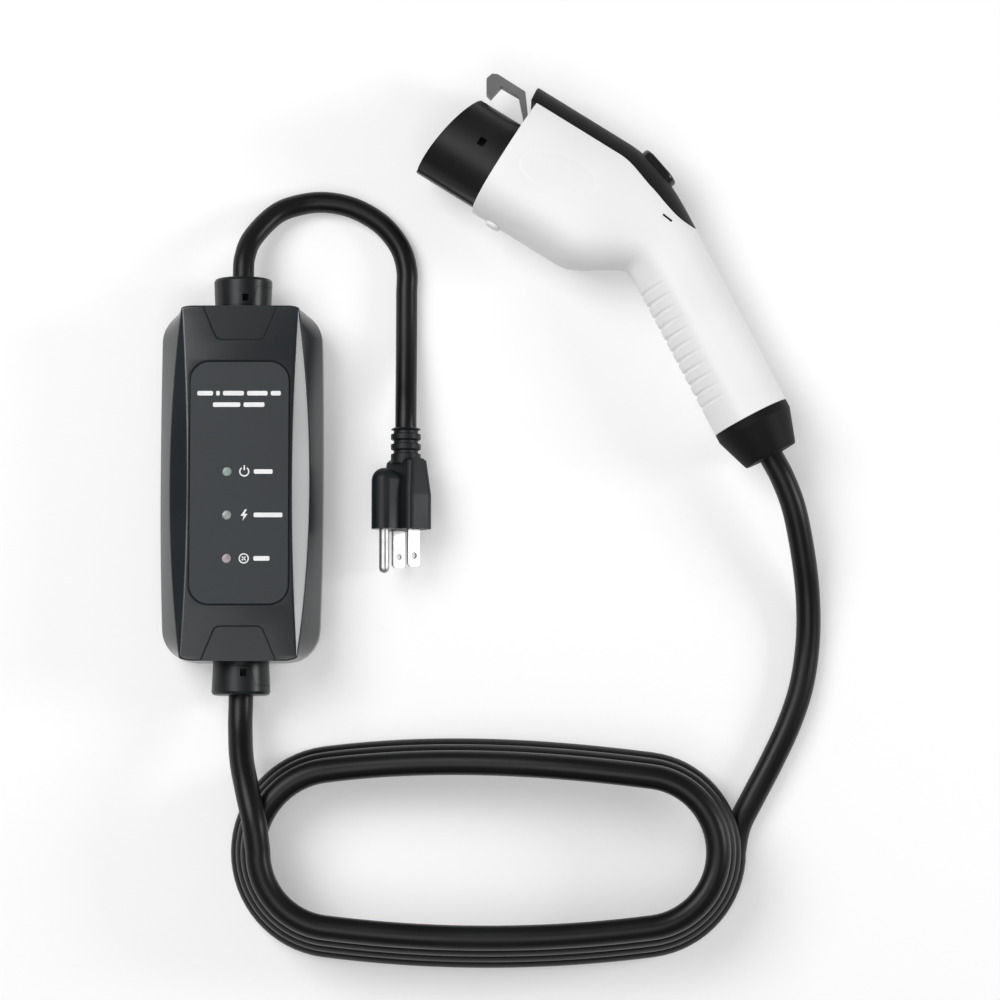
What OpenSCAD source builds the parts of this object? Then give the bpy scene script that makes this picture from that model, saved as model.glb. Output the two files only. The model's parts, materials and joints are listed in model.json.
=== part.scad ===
/* [Control box] */
// Width of the control box across its bowed sides
box_w = 75.5; // [70:0.5:84]
// Length of the control box between its end walls
box_l = 164; // [152:1:180]
// Height of the control box from its back to its front face
box_h = 42; // [39:0.5:48]
// Height of the parting plane, on which both cables enter
split_z = 20; // [18.5:0.5:22]
// Wall of both covers of the control box
box_wall = 2.5; // [2:0.1:3]
// Corner radius of the control box seen from the front
box_corner_r = 15; // [12:0.5:18]
// Width of the flat front face at mid length
face_w = 47.8; // [45:0.2:52]
// Width between the two outer creases at mid length
crease_w = 64.8; // [61:0.2:68]
// Drop of the outer creases below the face at mid length
crease_drop = 5.5; // [4:0.1:7]
// Thickness of the seal between the two covers
gasket_t = 0.6; // [0.4:0.1:1]

/* [Indicator panel] */
// Strip of flat face left on each side of the panel recess
panel_margin = 1.2; // [0.8:0.1:3]
// Distance from each end of the box to the panel recess
panel_end = 26.2; // [24:0.2:32]
// Corner radius of the panel recess
panel_r = 9; // [5:0.5:12]
// Depth of the panel recess
panel_depth = 1.2; // [0.9:0.1:1.6]
// Thickness of the panel sheet
panel_t = 0.7; // [0.4:0.1:0.8]
// Diameter of an indicator lens
lamp_d = 4.4; // [3:0.1:5]
// Distance between neighbouring lenses
lamp_pitch = 20; // [16:0.5:22]
// Depth of the two tapered end recesses
end_recess = 0.7; // [0.4:0.1:1.2]

/* [Circuit board] */
// Height of the underside of the circuit board
board_z = 13; // [11:0.5:14]
// Thickness of the circuit board
board_t = 1.6; // [1:0.1:2]
// Distance from each side of the box to the board
board_side = 12.75; // [11:0.25:14]
// Distance from each end of the box to the board
board_end = 26; // [25:0.5:30]
// Height of a power relay
relay_h = 16; // [12:0.5:18]

/* [Cable entries] */
// Diameter of a cable entry at the box
gland_d = 26; // [24:0.5:30]
// Diameter of a cable entry at its outer end
gland_end_d = 27.2; // [24:0.2:31]
// Length of a cable entry outside the box
gland_l = 15; // [13:0.5:20]
// Height of the tongue that runs up one side of an entry
tongue_h = 10.5; // [8:0.5:11]
// Diameter of the spigot through the end wall
spigot_d = 18; // [17:0.5:20]

/* [Cords] */
// Diameter of the mains lead
lead_d = 10; // [8:0.5:10.5]
// Diameter of the vehicle cable
cable_d = 11.5; // [10:0.5:12]
// Height of a turn of the coil above the one below
coil_step = 11.1; // [10:0.05:12]
// Distance from the middle of the coil to the centre of each round end
coil_half_run = 70.5; // [60:0.5:75]
// Radius of the lowest turn's round ends
coil_r = 43.5; // [42:0.5:50]
// Bow of the coil's long sides
coil_bow = 4.5; // [3:0.5:6]
// Amount by which each turn is smaller than the one below
coil_lean = 3; // [2:0.5:4]

/* [Vehicle connector] */
// Diameter of the nose barrel
nose_d = 43.8; // [42:0.2:46]
// Wall of the nose barrel
nose_wall = 2.2; // [1.6:0.1:2.6]
// Reach of the nose in front of the body on the latch side
nose_reach_top = 22.8; // [20:0.2:25]
// Reach of the nose in front of the body on the lower side
nose_reach_low = 31.1; // [29:0.2:33]
// Wall of the two body halves
shell_wall = 2.5; // [2:0.1:2.8]
// Height of the latch bay above the barrel, cover included
latch_bay = 19.1; // [18.6:0.1:21]
// Height of the top cover above its parting line
cover_rise = 8.8; // [8:0.1:9.2]
// Length of the straight part of the body
body_run = 46; // [42:0.5:48]
// Diameter of the grip
grip_d = 36.7; // [35:0.1:39]
// Length of the straight part of the grip
grip_l = 76.6; // [70:0.2:90]
// Angle of the grip below the line of the nose
grip_angle = 30.5; // [28:0.5:33]
// Number of finger grooves along the grip
groove_count = 11; // [5:1:12]
// Distance between neighbouring finger grooves
groove_pitch = 5.9; // [5:0.1:6.2]
// Length of the end cap behind the grip
cap_l = 20; // [16:0.5:26]
// Diameter of the end cap where the cable leaves
cap_end_d = 26.6; // [22:0.2:30]
// Diameter of a contact carrier inside the barrel
carrier_d = 33; // [31:0.5:35]
// Depth of the contact face behind the body's front, negative in front
carrier_face = -13; // [-15:0.5:-8]

/* [Latch and button] */
// Width of the latch lever
lever_w = 8; // [6:0.5:9]
// Radius of the latch pin
pin_r = 2; // [1.5:0.1:2.4]
// Length of the thumb button
button_l = 21; // [18:0.5:23]
// Width of the thumb button
button_w = 13; // [11:0.5:14]
// Height of the thumb button above the cover
button_rise = 2.6; // [2:0.1:3.4]

/* [Mains plug] */
// Height of the plug body across its two blades
plug_span = 24.6; // [22:0.2:28]
// Length of the plug body
plug_l = 33; // [30:0.5:38]
// Length of the ribbed neck of the plug
neck_l = 14; // [11:0.5:18]
// Diameter of the ribbed neck
neck_d = 14; // [13:0.2:16]
// Width of a flat blade
blade_w = 6.35; // [6:0.05:6.6]
// Thickness of a flat blade
blade_t = 1.5; // [1.4:0.05:1.6]
// Reach of the flat blades
blade_l = 17.5; // [16:0.1:18.3]
// Diameter of the earth pin
earth_d = 4.75; // [4.6:0.05:4.9]
// Reach of the earth pin
earth_l = 20.6; // [19:0.1:22]
// Distance between the two blades
blade_pitch = 12.7; // [12.5:0.1:13]
// Distance from the line of the blades to the earth pin
earth_offset = 11.9; // [11.7:0.1:12.1]

/* [Clearances] */
// Clearance round pieces that move
run_gap = 0.35; // [0.3:0.05:0.4]
// Clearance round pieces that are seated
fit_gap = 0.15; // [0.1:0.05:0.2]

/* [Hidden] */
$fn = 40;

// Places of the three main pieces on the surface that they lie on
box_pos = [-109.5, -48, 0];
nose_pos = [9.8, 101.75];
nose_turn = -32;
plug_pos = [-33.6, -67.8];
plug_roll = 35;

// Routes of the two cords, chosen by hand
lead_route = [
    [-109.5, 24, 20], [-109.5, 36, 20], [-109.5, 51, 20], [-109, 60, 18.5], [-105.5, 70, 14],
    [-95, 82, 8.5], [-83, 87, 5.6], [-71, 88, 5], [-58, 85, 5], [-45.5, 77.5, 5], [-37, 67, 5],
    [-33.6, 56, 5], [-33.6, 44, 5], [-33.6, 25, 6], [-33.6, 4, 10], [-33.6, -8, 13],
    [-33.6, -18, 14.5], [-33.6, -28.6, 14.5]
];
box_end_route = [
    [-109.5, -118, 20], [-109.5, -132, 20], [-109.5, -147, 20.3], [-109.5, -160, 23],
    [-108.3, -175, 29.7], [-105, -190, 36.4], [-101.7, -204, 39.8], [-100, -217, 39.05]
];
handle_end_route = [
    [119, -217, 5.75], [121.5, -205, 5.75], [128, -192, 5.75], [136.5, -176, 5.75],
    [145, -158, 5.75], [151, -140, 5.75], [154, -120, 6.3], [154, -100, 9.5], [151.5, -80, 15.5],
    [147, -59, 21.5], [141.5, -44.5, 24.2], [136, -34, 24.6], [126.8, -16.2, 24.6],
    [117.6, 1.5, 24.6]
];
coil_pos = [5, -217, 0];
coil_mid = coil_r + coil_bow;
coil_side_r = (pow(coil_half_run, 2) + pow(coil_mid, 2) - pow(coil_r, 2)) / (2 * coil_bow);
coil_side_angle = asin(coil_half_run / (coil_side_r - coil_r));
cord_sides = 10;

// Box outline, in stations along its length
outline_y = [0, 0.16, 0.33, 0.5, 0.67, 0.8, 0.866, 0.921, 0.963, 0.988, 1];
outline_n = len(outline_y);
bow_far = 0.7;
bow_near = 1.8;
rim_h = 2.5;
back_round = [[0, 4], [1.2, 1.6], [4, 0.5]];
floor_z = box_wall;
cover_z = split_z + gasket_t;
screw_at = [box_w / 2 - 13.75, box_l / 2 - 20];
screw_r = 1.5;
screw_head_r = 2.9;
post_r = 3.5;
post_top = box_h - box_wall + 0.4;
screw_seat = 3.2;
screw_head_h = 2.3;
screw_tip_gap = 4;
face_growth = 2.8;
crease_close = 5.4;

// Indicator panel and lamps
panel_size = [face_w - 2 * panel_margin, box_l - 2 * panel_end];
panel_floor = box_h - panel_depth;
lamp_x = -5.6;
lamp_top = 5;
lamp_y = [lamp_top, lamp_top - lamp_pitch, lamp_top - 2 * lamp_pitch];
lens_r = lamp_d / 2;
lens_rise = 0.15;
recess_taper = [17.8, 10.3, 15.6];
recess_round = 3;

// Circuit board and what stands on it
board_size = [box_w - 2 * board_side, box_l - 2 * board_end];
board_top = board_z + board_t;
standoff_at = [board_size[0] / 2 - 4, board_size[1] / 2 - 4];
led_h = 3;
relay_size = [16, 28, relay_h];
relay_x = 13;
relay_inset = 29;
relay_y = board_size[1] / 2 - relay_inset;
supply_size = [16, 24, 15];
board_gap = 2;
supply_pos = [relay_x, relay_y - (relay_size[1] + supply_size[1]) / 2 - board_gap];
terminal_size = [30, 9, 11];
terminal_inset = 7;
terminal_y = board_size[1] / 2 - terminal_inset;
sensor_r = [5, 8.5];
sensor_h = 10;
sensor_pos = [relay_x, sensor_r[1] + board_gap + terminal_size[1] / 2 - terminal_y];
fuse_r = 2.6;
fuse_l = 20;
fuse_pos = [-relay_x, supply_pos[1] - 19];

// Cable entries
gland_bore_gap = 0.3;
gland_foot = 1.7;
seam_x = [5, 8];
seal_wall = 2.6;
seal_span = [3.5, gland_l - 2];
inner_flange_d = spigot_d + 5;
inner_flange_t = 2;
window_size = [2.8, 3.2];
window_at = [0.4, 3.4];

// Connector form: u runs rearward, v toward the latch, w to the side
nose_r = nose_d / 2;
shell_gap = 0.2;
body_half_w = nose_r + shell_wall + shell_gap;
body_low = -body_half_w;
body_top = nose_r + latch_bay;
parting_v = body_top - cover_rise;
front_u = 0.5;
grip_r = grip_d / 2;
grip_dir = [cos(grip_angle), -sin(grip_angle)];
grip_up = [sin(grip_angle), cos(grip_angle)];
grip_low_start = [body_run + 40.4, -15];
grip_top_start = grip_low_start + grip_d * grip_up;
waist = [body_run + 20, -15.9];
waist_dir = [0.847, 0.531];
top_curve = [
    [body_run, body_top], [body_run + 22, body_top], grip_top_start - 22 * grip_dir, grip_top_start
];
low_curve_a = [[body_run, body_low], [body_run + 9, body_low], waist - 7 * waist_dir, waist];
low_curve_b = [waist, waist + 13 * waist_dir, grip_low_start - 12 * grip_dir, grip_low_start];
body_power = 2.4;
body_egg = 0.33;
egg_norm = 0.45;
parting_ratio = (parting_v - (body_top + body_low) / 2) / ((body_top - body_low) / 2);
parting_dip = 0.09;
parting_rise = 0.3;
cover_end_t = 0.8;
turn_steps = 20;
ring_steps = 13;
cover_steps = 11;
grip_mid = (grip_top_start + grip_low_start) / 2;
grip_end = grip_mid + grip_l * grip_dir;
nose_z = body_half_w;

// Finger grooves, lug and slot of the body
groove_r = 1.1;
groove_depth = 0.8;
groove_fade = 1.2;
groove_start = 3.3;
lug_u = 12.5;
lug_r = 3.7;
lug_rise = 1.8;
slot_at = [80.4, 18.3];
slot_size = [5.2, 1.1];
slot_turn = -5;

// Screws that join the two halves, each with the reach of its boss
body_screws = [
    [34, body_low + 7.6, 14], [80, 12, 18.4],
    concat(grip_mid + 21.6 * grip_dir - 11 * grip_up, [10.5]),
    concat(grip_mid + 46.6 * grip_dir + 11 * grip_up, [10.5])
];
boss_r = 3.2;
body_screw_r = 1.2;
body_screw_head_r = 2.3;
body_screw_seat = 6;
body_screw_head_h = 1.9;
body_screw_tip_gap = 2;

// Nose, flange and contacts
rim_bulge = 1.2;
flange_u = [front_u + 0.4, front_u + 2.8];
tail_r = nose_r - 1.1;
tail_u = 17;
nose_slot_at = [-10.7, 2.4];
nose_slot_size = [3.4, 4];
key_rib = [5, 0.7];
carrier_flange_u = [3.5, 8];
power_r = 3;
signal_r = 2.3;
power_at = [5.5, 7.9];
earth_at = [-9.8, 0];
signal_at = [-3.9, 11.2];
contact_back = 16;

// Latch lever, about its pivot
pivot = [20, nose_r + 5.1];
pivot_boss_r = 4;
lever_top = [
    [-46.6, 4.7], [-45.6, 8], [-43.2, 9.2], [-27.9, 9], [-19.7, -1.5], [-8, -0.9], [-3, 2.6]
];
lever_low = [
    [-3, -3.4], [-7, -4.3], [-20.4, -4.3], [-22.9, -1.2], [-29.4, 5.6], [-38.8, 5.3],
    [-40.1, -2], [-42.8, -1.4]
];
tail_end = 45;
tail_high = 3.7;
tail_low = 0.2;
lever_slot = [nose_r + 0.3, nose_r + 6.7];
pin_half = 13;
boss_reach = 15.4;

// Thumb button, in a frame on the slope of the cover whose z runs inward
button_at = bezier(top_curve, 0.28) - [0, 0.2];
button_slope = 17.5;
button_skin = 2;
button_flange = 1.2;
button_flange_t = 1.2;
stem_r = 3;
stem_l = 6.4;
cover_front_u = -4;
cover_rake = 1.6;
pocket_half_w = 7.2;
pocket_u = [-1.5, body_run + 4];
pocket_roof = 2.4;

// Bracket that carries the spring and the switch
bracket_u = [34, 58];
bracket_v = [12, 14];
bracket_side = 1.9;
bracket_half_w = body_half_w - shell_wall - bracket_side;
bracket_hole = [40, bracket_half_w - 5];
spring_peg_h = 4;
spring_u = pivot[0] + 30;
spring_r = 3;
spring_wire = 0.7;
spring_turns = 5;
switch_size = [12, 8, 6];

// End cap, seal and clamp at the end of the grip
cap_r = grip_r;
cap_band = 4;
cap_plug_l = 6;
cap_plug_r = grip_r - shell_wall - 0.3;
cap_edge = 0.6;
cable_bore_r = cable_d / 2 + 0.25;
clamp_u = [-26, -16];
clamp_wall = 3;

// Plug form, measured from its front face along the lead
plug_back = 6.6;
plug_front_q = 7.4;
bump_r = 6;
bump_l = 28.5;
plug_corner = 3;
rib_count = 3;
rib_depth = 1.3;
neck_bore_depth = 8;
plug_z = plug_span / 2 * cos(plug_roll) + 4.4;
lead_bore_r = lead_d / 2 + 0.25;
root_l = 10;
root_step = 0.3;

// Plain curves
function mix(a, b, t) = a + (b - a) * t;
function smooth(t) = let (c = min(max(t, 0), 1)) c * c * (3 - 2 * c);
function bezier(p, t) = pow(1 - t, 3) * p[0] + 3 * pow(1 - t, 2) * t * p[1]
    + 3 * (1 - t) * t * t * p[2] + pow(t, 3) * p[3];
function unit(v) = v / norm(v);
function signed_pow(x, p) = sign(x) * pow(abs(x), p);

// Faces of a solid lofted through closed loops of equal length, each counterclockwise about the sweep
function loft_faces(n, c) = concat(
    [for (i = [0:n - 2], j = [0:c - 1]) each [
        [i * c + j, (i + 1) * c + j, (i + 1) * c + (j + 1) % c],
        [i * c + j, (i + 1) * c + (j + 1) % c, i * c + (j + 1) % c]
    ]],
    [for (j = [0:floor(c / 2) - 2]) each [[j, j + 1, c - 2 - j], [j, c - 2 - j, c - 1 - j]]],
    [for (j = [0:floor(c / 2) - 2], o = (n - 1) * c) each [
        [o + c - 1 - j, o + c - 2 - j, o + j + 1], [o + c - 1 - j, o + j + 1, o + j]
    ]]
);

module loft(rings) {
    polyhedron([for (ring = rings) each ring], loft_faces(len(rings), len(rings[0])), convexity = 8);
}

// Smooth path through hand-placed points, with extra points between them
function path_at(p, i, t) = let (
    a = p[max(i - 1, 0)], b = p[i], c = p[i + 1], d = p[min(i + 2, len(p) - 1)]
) 0.5 * (2 * b + (c - a) * t + (2 * a - 5 * b + 4 * c - d) * t * t + (3 * b - a - 3 * c + d) * t * t * t);
function smooth_path(p, steps) = concat(
    [for (i = [0:len(p) - 2], s = [0:steps - 1]) path_at(p, i, s / steps)], [p[len(p) - 1]]
);

// Round tube swept along a path
function tube_ring(path, i, r, sides, ref) = let (
    along = unit(path[min(i + 1, len(path) - 1)] - path[max(i - 1, 0)]),
    side = unit(cross(ref, along)),
    up = cross(along, side)
) [for (k = [0:sides - 1]) path[i] + r * (cos(360 * k / sides) * side + sin(360 * k / sides) * up)];

module tube(path, r, sides = cord_sides, ref = [0, 0, 1]) {
    loft([for (i = [0:len(path) - 1]) tube_ring(path, i, r, sides, ref)]);
}

module rounded_plate(size, r, t) {
    linear_extrude(t) {
        square([size[0] - 2 * r, size[1]], center = true);
        square([size[0], size[1] - 2 * r], center = true);
        for (x = [-1, 1], y = [-1, 1])
            translate([x * (size[0] / 2 - r), y * (size[1] / 2 - r)]) circle(r);
    }
}

module stadium(l, w) {
    square([l - w, w], center = true);
    for (x = [-1, 1]) translate([x * (l - w) / 2, 0]) circle(d = w);
}

// Frames of the box, its cable entries, the connector and the plug
module at_box() {
    translate(box_pos) children();
}

module at_gland(end) {
    at_box() translate([0, end * box_l / 2, split_z]) mirror([0, end > 0 ? 0 : 1, 0]) children();
}

module at_nose() {
    translate([nose_pos[0], nose_pos[1], nose_z]) rotate([0, 0, nose_turn]) children();
}

module at_grip_end() {
    translate([grip_end[0], grip_end[1], 0]) rotate([0, 0, -grip_angle]) children();
}

module at_button() {
    at_nose() translate([button_at[0], button_at[1], 0]) rotate([0, 0, -button_slope])
        rotate([90, 0, 0]) children();
}

module at_plug() {
    translate([plug_pos[0], plug_pos[1], plug_z]) rotate([0, plug_roll, 0]) children();
}

module round_y() {
    rotate([-90, 0, 0]) rotate_extrude($fn = 64) children();
}

module round_x() {
    rotate([0, 90, 0]) rotate_extrude($fn = 64) children();
}

// Half width of the box outline at a share of its half length, drawn in by an inset
function side_x(s, inset) = let (
    half_l = box_l / 2 - inset,
    r = max(box_corner_r - inset, 1),
    bow = (s > 0 ? bow_far : bow_near) * s * s,
    past = max(abs(s) * half_l - (half_l - r), 0)
) box_w / 2 - inset - bow - (r - sqrt(max(r * r - past * past, 0)));
function outline_s() = concat(
    [for (i = [outline_n - 1:-1:1]) -outline_y[i]], outline_y
);

// Closed loop round the box: right side from the near end to the far end, then back on the left
function box_loop(half, level, inset) = let (s = outline_s(), l = box_l / 2 - inset) concat(
    [for (t = s) [half(t), t * l, level(t)]],
    [for (i = [len(s) - 1:-1:0]) [-half(s[i]), s[i] * l, level(s[i])]]
);
function outline_loop(z, inset) = box_loop(function (s) side_x(s, inset), function (s) z, inset);
function face_half(s, inset) = min(face_w / 2 + face_growth * s * s - inset * 0.5, side_x(s, inset) - 0.2);
function crease_half(s, inset) = min(
    crease_w / 2 - crease_close * s * s - inset * 0.8, side_x(s, inset) - 0.1
);
function crease_z(s) = box_h - crease_drop * (1 - s * s) - 0.3;

module box_front_form() {
    loft([
        box_loop(function (s) face_half(s, box_wall), function (s) box_h - box_wall, box_wall),
        box_loop(function (s) crease_half(s, box_wall), function (s) crease_z(s) - box_wall, box_wall),
        outline_loop(cover_z, box_wall),
        outline_loop(cover_z, 0),
        outline_loop(cover_z + rim_h, 0),
        box_loop(function (s) crease_half(s, 0), function (s) crease_z(s), 0),
        box_loop(function (s) face_half(s, 0), function (s) box_h, 0.8)
    ]);
}

module gland_hole(end) {
    at_gland(end) rotate([90, 0, 0]) cylinder(d = spigot_d + 2 * fit_gap, h = 40, center = true);
}

module end_recess_cut(end) {
    translate([0, end * box_l / 2, box_h - end_recess]) linear_extrude(4)
        offset(r = recess_round) offset(delta = -recess_round) polygon([
            [-recess_taper[0], end * 2], [recess_taper[0], end * 2],
            [recess_taper[1], -end * recess_taper[2]], [-recess_taper[1], -end * recess_taper[2]]
        ]);
}

module at_box_screws() {
    for (x = [-1, 1], y = [-1, 1]) translate([x * screw_at[0], y * screw_at[1], 0]) children();
}

module box_front_cover() {
    color("#34383c") difference() {
        at_box() difference() {
            union() {
                box_front_form();
                at_box_screws() translate([0, 0, cover_z]) cylinder(r = post_r, h = post_top - cover_z);
            }
            translate([0, 0, panel_floor]) rounded_plate(panel_size, panel_r, 4);
            for (end = [-1, 1]) end_recess_cut(end);
            for (y = lamp_y) translate([lamp_x, y, 0])
                cylinder(r = lens_r + fit_gap, h = box_h + 2);
            at_box_screws() cylinder(r = screw_r + fit_gap, h = post_top - 3);
        }
        for (end = [-1, 1]) gland_hole(end);
    }
}

module box_rear_form() {
    loft(concat(
        [for (step = back_round) outline_loop(step[0], step[1])],
        [
            outline_loop(split_z, 0), outline_loop(split_z, box_wall),
            outline_loop(floor_z + 2, box_wall + 0.1), outline_loop(floor_z, box_wall + 2)
        ]
    ));
}

module box_rear_cover() {
    color("#2a2d30") difference() {
        at_box() difference() {
            union() {
                box_rear_form();
                at_box_screws() translate([0, 0, floor_z - 0.5])
                    cylinder(r = post_r, h = split_z - floor_z + 0.5);
                for (x = [-1, 1], y = [-1, 1])
                    translate([x * standoff_at[0], y * standoff_at[1], floor_z - 0.5])
                        cylinder(r = 3, h = board_z - floor_z + 0.5);
            }
            at_box_screws() {
                translate([0, 0, -1]) cylinder(r = screw_r + fit_gap, h = split_z + 2);
                translate([0, 0, -1]) cylinder(r = screw_head_r + fit_gap, h = screw_seat + 1);
            }
        }
        for (end = [-1, 1]) gland_hole(end);
    }
}

module box_gasket() {
    color("#101214") difference() {
        at_box() translate([0, 0, split_z]) linear_extrude(gasket_t) difference() {
            polygon([for (p = outline_loop(0, 0.5)) [p[0], p[1]]]);
            polygon([for (p = outline_loop(0, box_wall - 0.3)) [p[0], p[1]]]);
        }
        for (end = [-1, 1]) gland_hole(end);
    }
}

module box_screws() {
    color("#8d9094") at_box() at_box_screws() difference() {
        union() {
            translate([0, 0, screw_seat - 0.1 - screw_head_h]) cylinder(r = screw_head_r, h = screw_head_h);
            translate([0, 0, screw_seat - 0.2])
                cylinder(r = screw_r, h = post_top - screw_tip_gap - screw_seat);
        }
        cylinder(r = screw_r * 0.8, h = screw_seat - screw_head_h / 2, $fn = 6);
    }
}

module indicator_panel() {
    sheet = [panel_size[0] - 2 * fit_gap, panel_size[1] - 2 * fit_gap];
    color("#3b3f43") at_box() difference() {
        translate([0, 0, panel_floor]) rounded_plate(sheet, panel_r - fit_gap, panel_t);
        for (y = lamp_y) translate([lamp_x, y, 0]) cylinder(r = lens_r + fit_gap, h = box_h + 2);
    }
}

// Light pipe from a lamp on the board to a domed lens in the panel
module light_pipe(i, shade) {
    foot = board_top + led_h + 0.2;
    head = panel_floor + panel_t + lens_rise;
    color(shade) at_box() translate([lamp_x, lamp_y[i], 0]) rotate_extrude() polygon([
        [0, foot], [lens_r - 0.4, foot], [lens_r - 0.4, head - 6], [lens_r, head - 5], [lens_r, head - 0.5],
        [lens_r * 0.8, head - 0.2], [lens_r * 0.4, head - 0.05], [0, head]
    ]);
}

module power_lens() {
    light_pipe(0, "#8f9f98");
}

module charging_lens() {
    light_pipe(1, "#9a9d9c");
}

module fault_lens() {
    light_pipe(2, "#a99da0");
}

module control_board() {
    color("#1e6b45") at_box() difference() {
        translate([0, 0, board_z]) rounded_plate(board_size, 3, board_t);
        for (x = [-1, 1], y = [-1, 1])
            translate([x * standoff_at[0], y * standoff_at[1], board_z - 1])
                cylinder(r = 1.3, h = board_t + 2);
    }
}

module status_leds() {
    color("#e8ece8") at_box() for (y = lamp_y) translate([lamp_x, y, board_top]) {
        cylinder(r = 1.6, h = 0.8);
        cylinder(r = 1.3, h = led_h);
    }
}

module board_block(size, chamfer = 1) {
    translate([0, 0, size[2] / 2]) rotate([90, 0, 0]) linear_extrude(size[1], center = true) polygon([
        [-size[0] / 2, -size[2] / 2], [size[0] / 2, -size[2] / 2], [size[0] / 2, size[2] / 2 - chamfer],
        [size[0] / 2 - chamfer, size[2] / 2], [-size[0] / 2 + chamfer, size[2] / 2],
        [-size[0] / 2, size[2] / 2 - chamfer]
    ]);
}

module line_relay() {
    color("#23262a") at_box() translate([-relay_x, relay_y, board_top]) board_block(relay_size);
}

module neutral_relay() {
    color("#23262a") at_box() translate([relay_x, relay_y, board_top]) board_block(relay_size);
}

module supply_module() {
    color("#15171a") at_box() translate([supply_pos[0], supply_pos[1], board_top])
        board_block(supply_size, 0.6);
}

module current_sensor() {
    color("#c9b458") at_box() translate([sensor_pos[0], sensor_pos[1], board_top]) rotate_extrude() polygon([
        [sensor_r[0], 0], [sensor_r[1], 0], [sensor_r[1], sensor_h - 1], [sensor_r[1] - 1, sensor_h],
        [sensor_r[0] + 1, sensor_h], [sensor_r[0], sensor_h - 1]
    ]);
}

module board_fuse() {
    color("#c9ccd0") at_box() translate([fuse_pos[0], fuse_pos[1], board_top + fuse_r]) rotate([90, 0, 0]) {
        cylinder(r = fuse_r - 0.4, h = fuse_l, center = true);
        for (z = [-1, 1]) translate([0, 0, z * (fuse_l / 2 - 3)]) cylinder(r = fuse_r, h = 6, center = true);
    }
}

// Three-way terminal block with open cable mouths toward its end of the box
module terminal_block(end) {
    pitch = terminal_size[0] / 3;
    color("#2f6f4a") at_box() translate([0, end * terminal_y, board_top]) difference() {
        board_block(terminal_size, 2);
        for (i = [-1:1]) {
            translate([i * pitch, 0, 4.5]) rotate([90, 0, 0])
                cylinder(r = 2.6, h = terminal_size[1] + 2, center = true);
            translate([i * pitch, 0, 6]) cylinder(r = 2, h = terminal_size[2]);
        }
    }
}

module input_terminals() {
    terminal_block(1);
}

module output_terminals() {
    terminal_block(-1);
}

// Edge between the base and the collar of a cable entry, with its tongue on one side
function seam_y(x) = mix(gland_foot, tongue_h, smooth((x - seam_x[0]) / (seam_x[1] - seam_x[0])));

module seam_region(above, shift) {
    xs = [-20, for (i = [0:8]) mix(seam_x[0], seam_x[1], i / 8), 20];
    far = above ? gland_l + 5 : -5;
    translate([0, 0, -20]) linear_extrude(40) polygon(concat(
        [for (x = xs) [x, seam_y(x) + shift]], [[20, far], [-20, far]]
    ));
}

module gland_form() {
    r0 = gland_d / 2;
    r1 = gland_end_d / 2;
    round_y() polygon([
        [0, 0], [r0, 0], [r1, gland_l - 1.5], [r1 - 0.5, gland_l - 0.4], [r1 - 1.5, gland_l], [0, gland_l]
    ]);
}

module gland_cut(cord) {
    rotate([90, 0, 0]) cylinder(d = cord + 2 * gland_bore_gap, h = 80, center = true);
    translate([0, seal_span[0], 0]) rotate([-90, 0, 0])
        cylinder(r = cord / 2 + seal_wall + fit_gap, h = seal_span[1] - seal_span[0]);
}

module gland_window() {
    translate([window_at[0], window_at[1], 0]) cube([window_size[0], window_size[1], 20]);
}

module gland_base(end, cord) {
    inside = -box_wall - fit_gap;
    color("#15171a") at_gland(end) difference() {
        union() {
            intersection() {
                gland_form();
                seam_region(false, 0);
            }
            round_y() polygon([
                [0, inside - inner_flange_t], [inner_flange_d / 2, inside - inner_flange_t],
                [inner_flange_d / 2, inside], [spigot_d / 2, inside], [spigot_d / 2, 0.5], [0, 0.5]
            ]);
        }
        gland_cut(cord);
    }
}

module gland_collar(end, cord) {
    color("#191b1e") at_gland(end) difference() {
        intersection() {
            gland_form();
            seam_region(true, fit_gap);
        }
        gland_cut(cord);
        gland_window();
    }
}

module gland_seal(end, cord) {
    gap = 0.1;
    color("#0c0d0e") at_gland(end) round_y() polygon([
        [cord / 2 + gap, seal_span[0] + gap], [cord / 2 + seal_wall, seal_span[0] + gap],
        [cord / 2 + seal_wall, seal_span[1] - gap], [cord / 2 + gap, seal_span[1] - gap]
    ]);
}

module upper_gland_base() {
    gland_base(1, lead_d);
}

module upper_gland_collar() {
    gland_collar(1, lead_d);
}

module upper_gland_seal() {
    gland_seal(1, lead_d);
}

module lower_gland_base() {
    gland_base(-1, cable_d);
}

module lower_gland_collar() {
    gland_collar(-1, cable_d);
}

module lower_gland_seal() {
    gland_seal(-1, cable_d);
}

// Sections of the connector body: top point, low point, half width, power, egg share, parting share
function body_section(u) = [
    [u, body_top], [u, body_low], body_half_w, body_power, body_egg, parting_ratio
];
function parting_share(t) = parting_ratio - parting_dip * smooth(t / 0.35)
    + parting_rise * pow(max((t - 0.5) / (cover_end_t - 0.5), 0), 3);
function turn_section(t, parting) = [
    bezier(top_curve, t), t <= 0.5 ? bezier(low_curve_a, 2 * t) : bezier(low_curve_b, 2 * t - 1),
    mix(body_half_w, grip_r, smooth(t)), mix(body_power, 2, t), mix(body_egg, 0, t), parting
];
function grip_section(d) = [
    grip_top_start + d * grip_dir, grip_low_start + d * grip_dir, grip_r, 2, 0, 1
];
function egg(a, b, n, k, angle) = [
    a * signed_pow(cos(angle), 2 / n),
    b * pow(abs(sin(angle)), 2 / n) * (1 - k * (1 + cos(angle)) / 2) / (1 - egg_norm * k)
];
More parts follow.
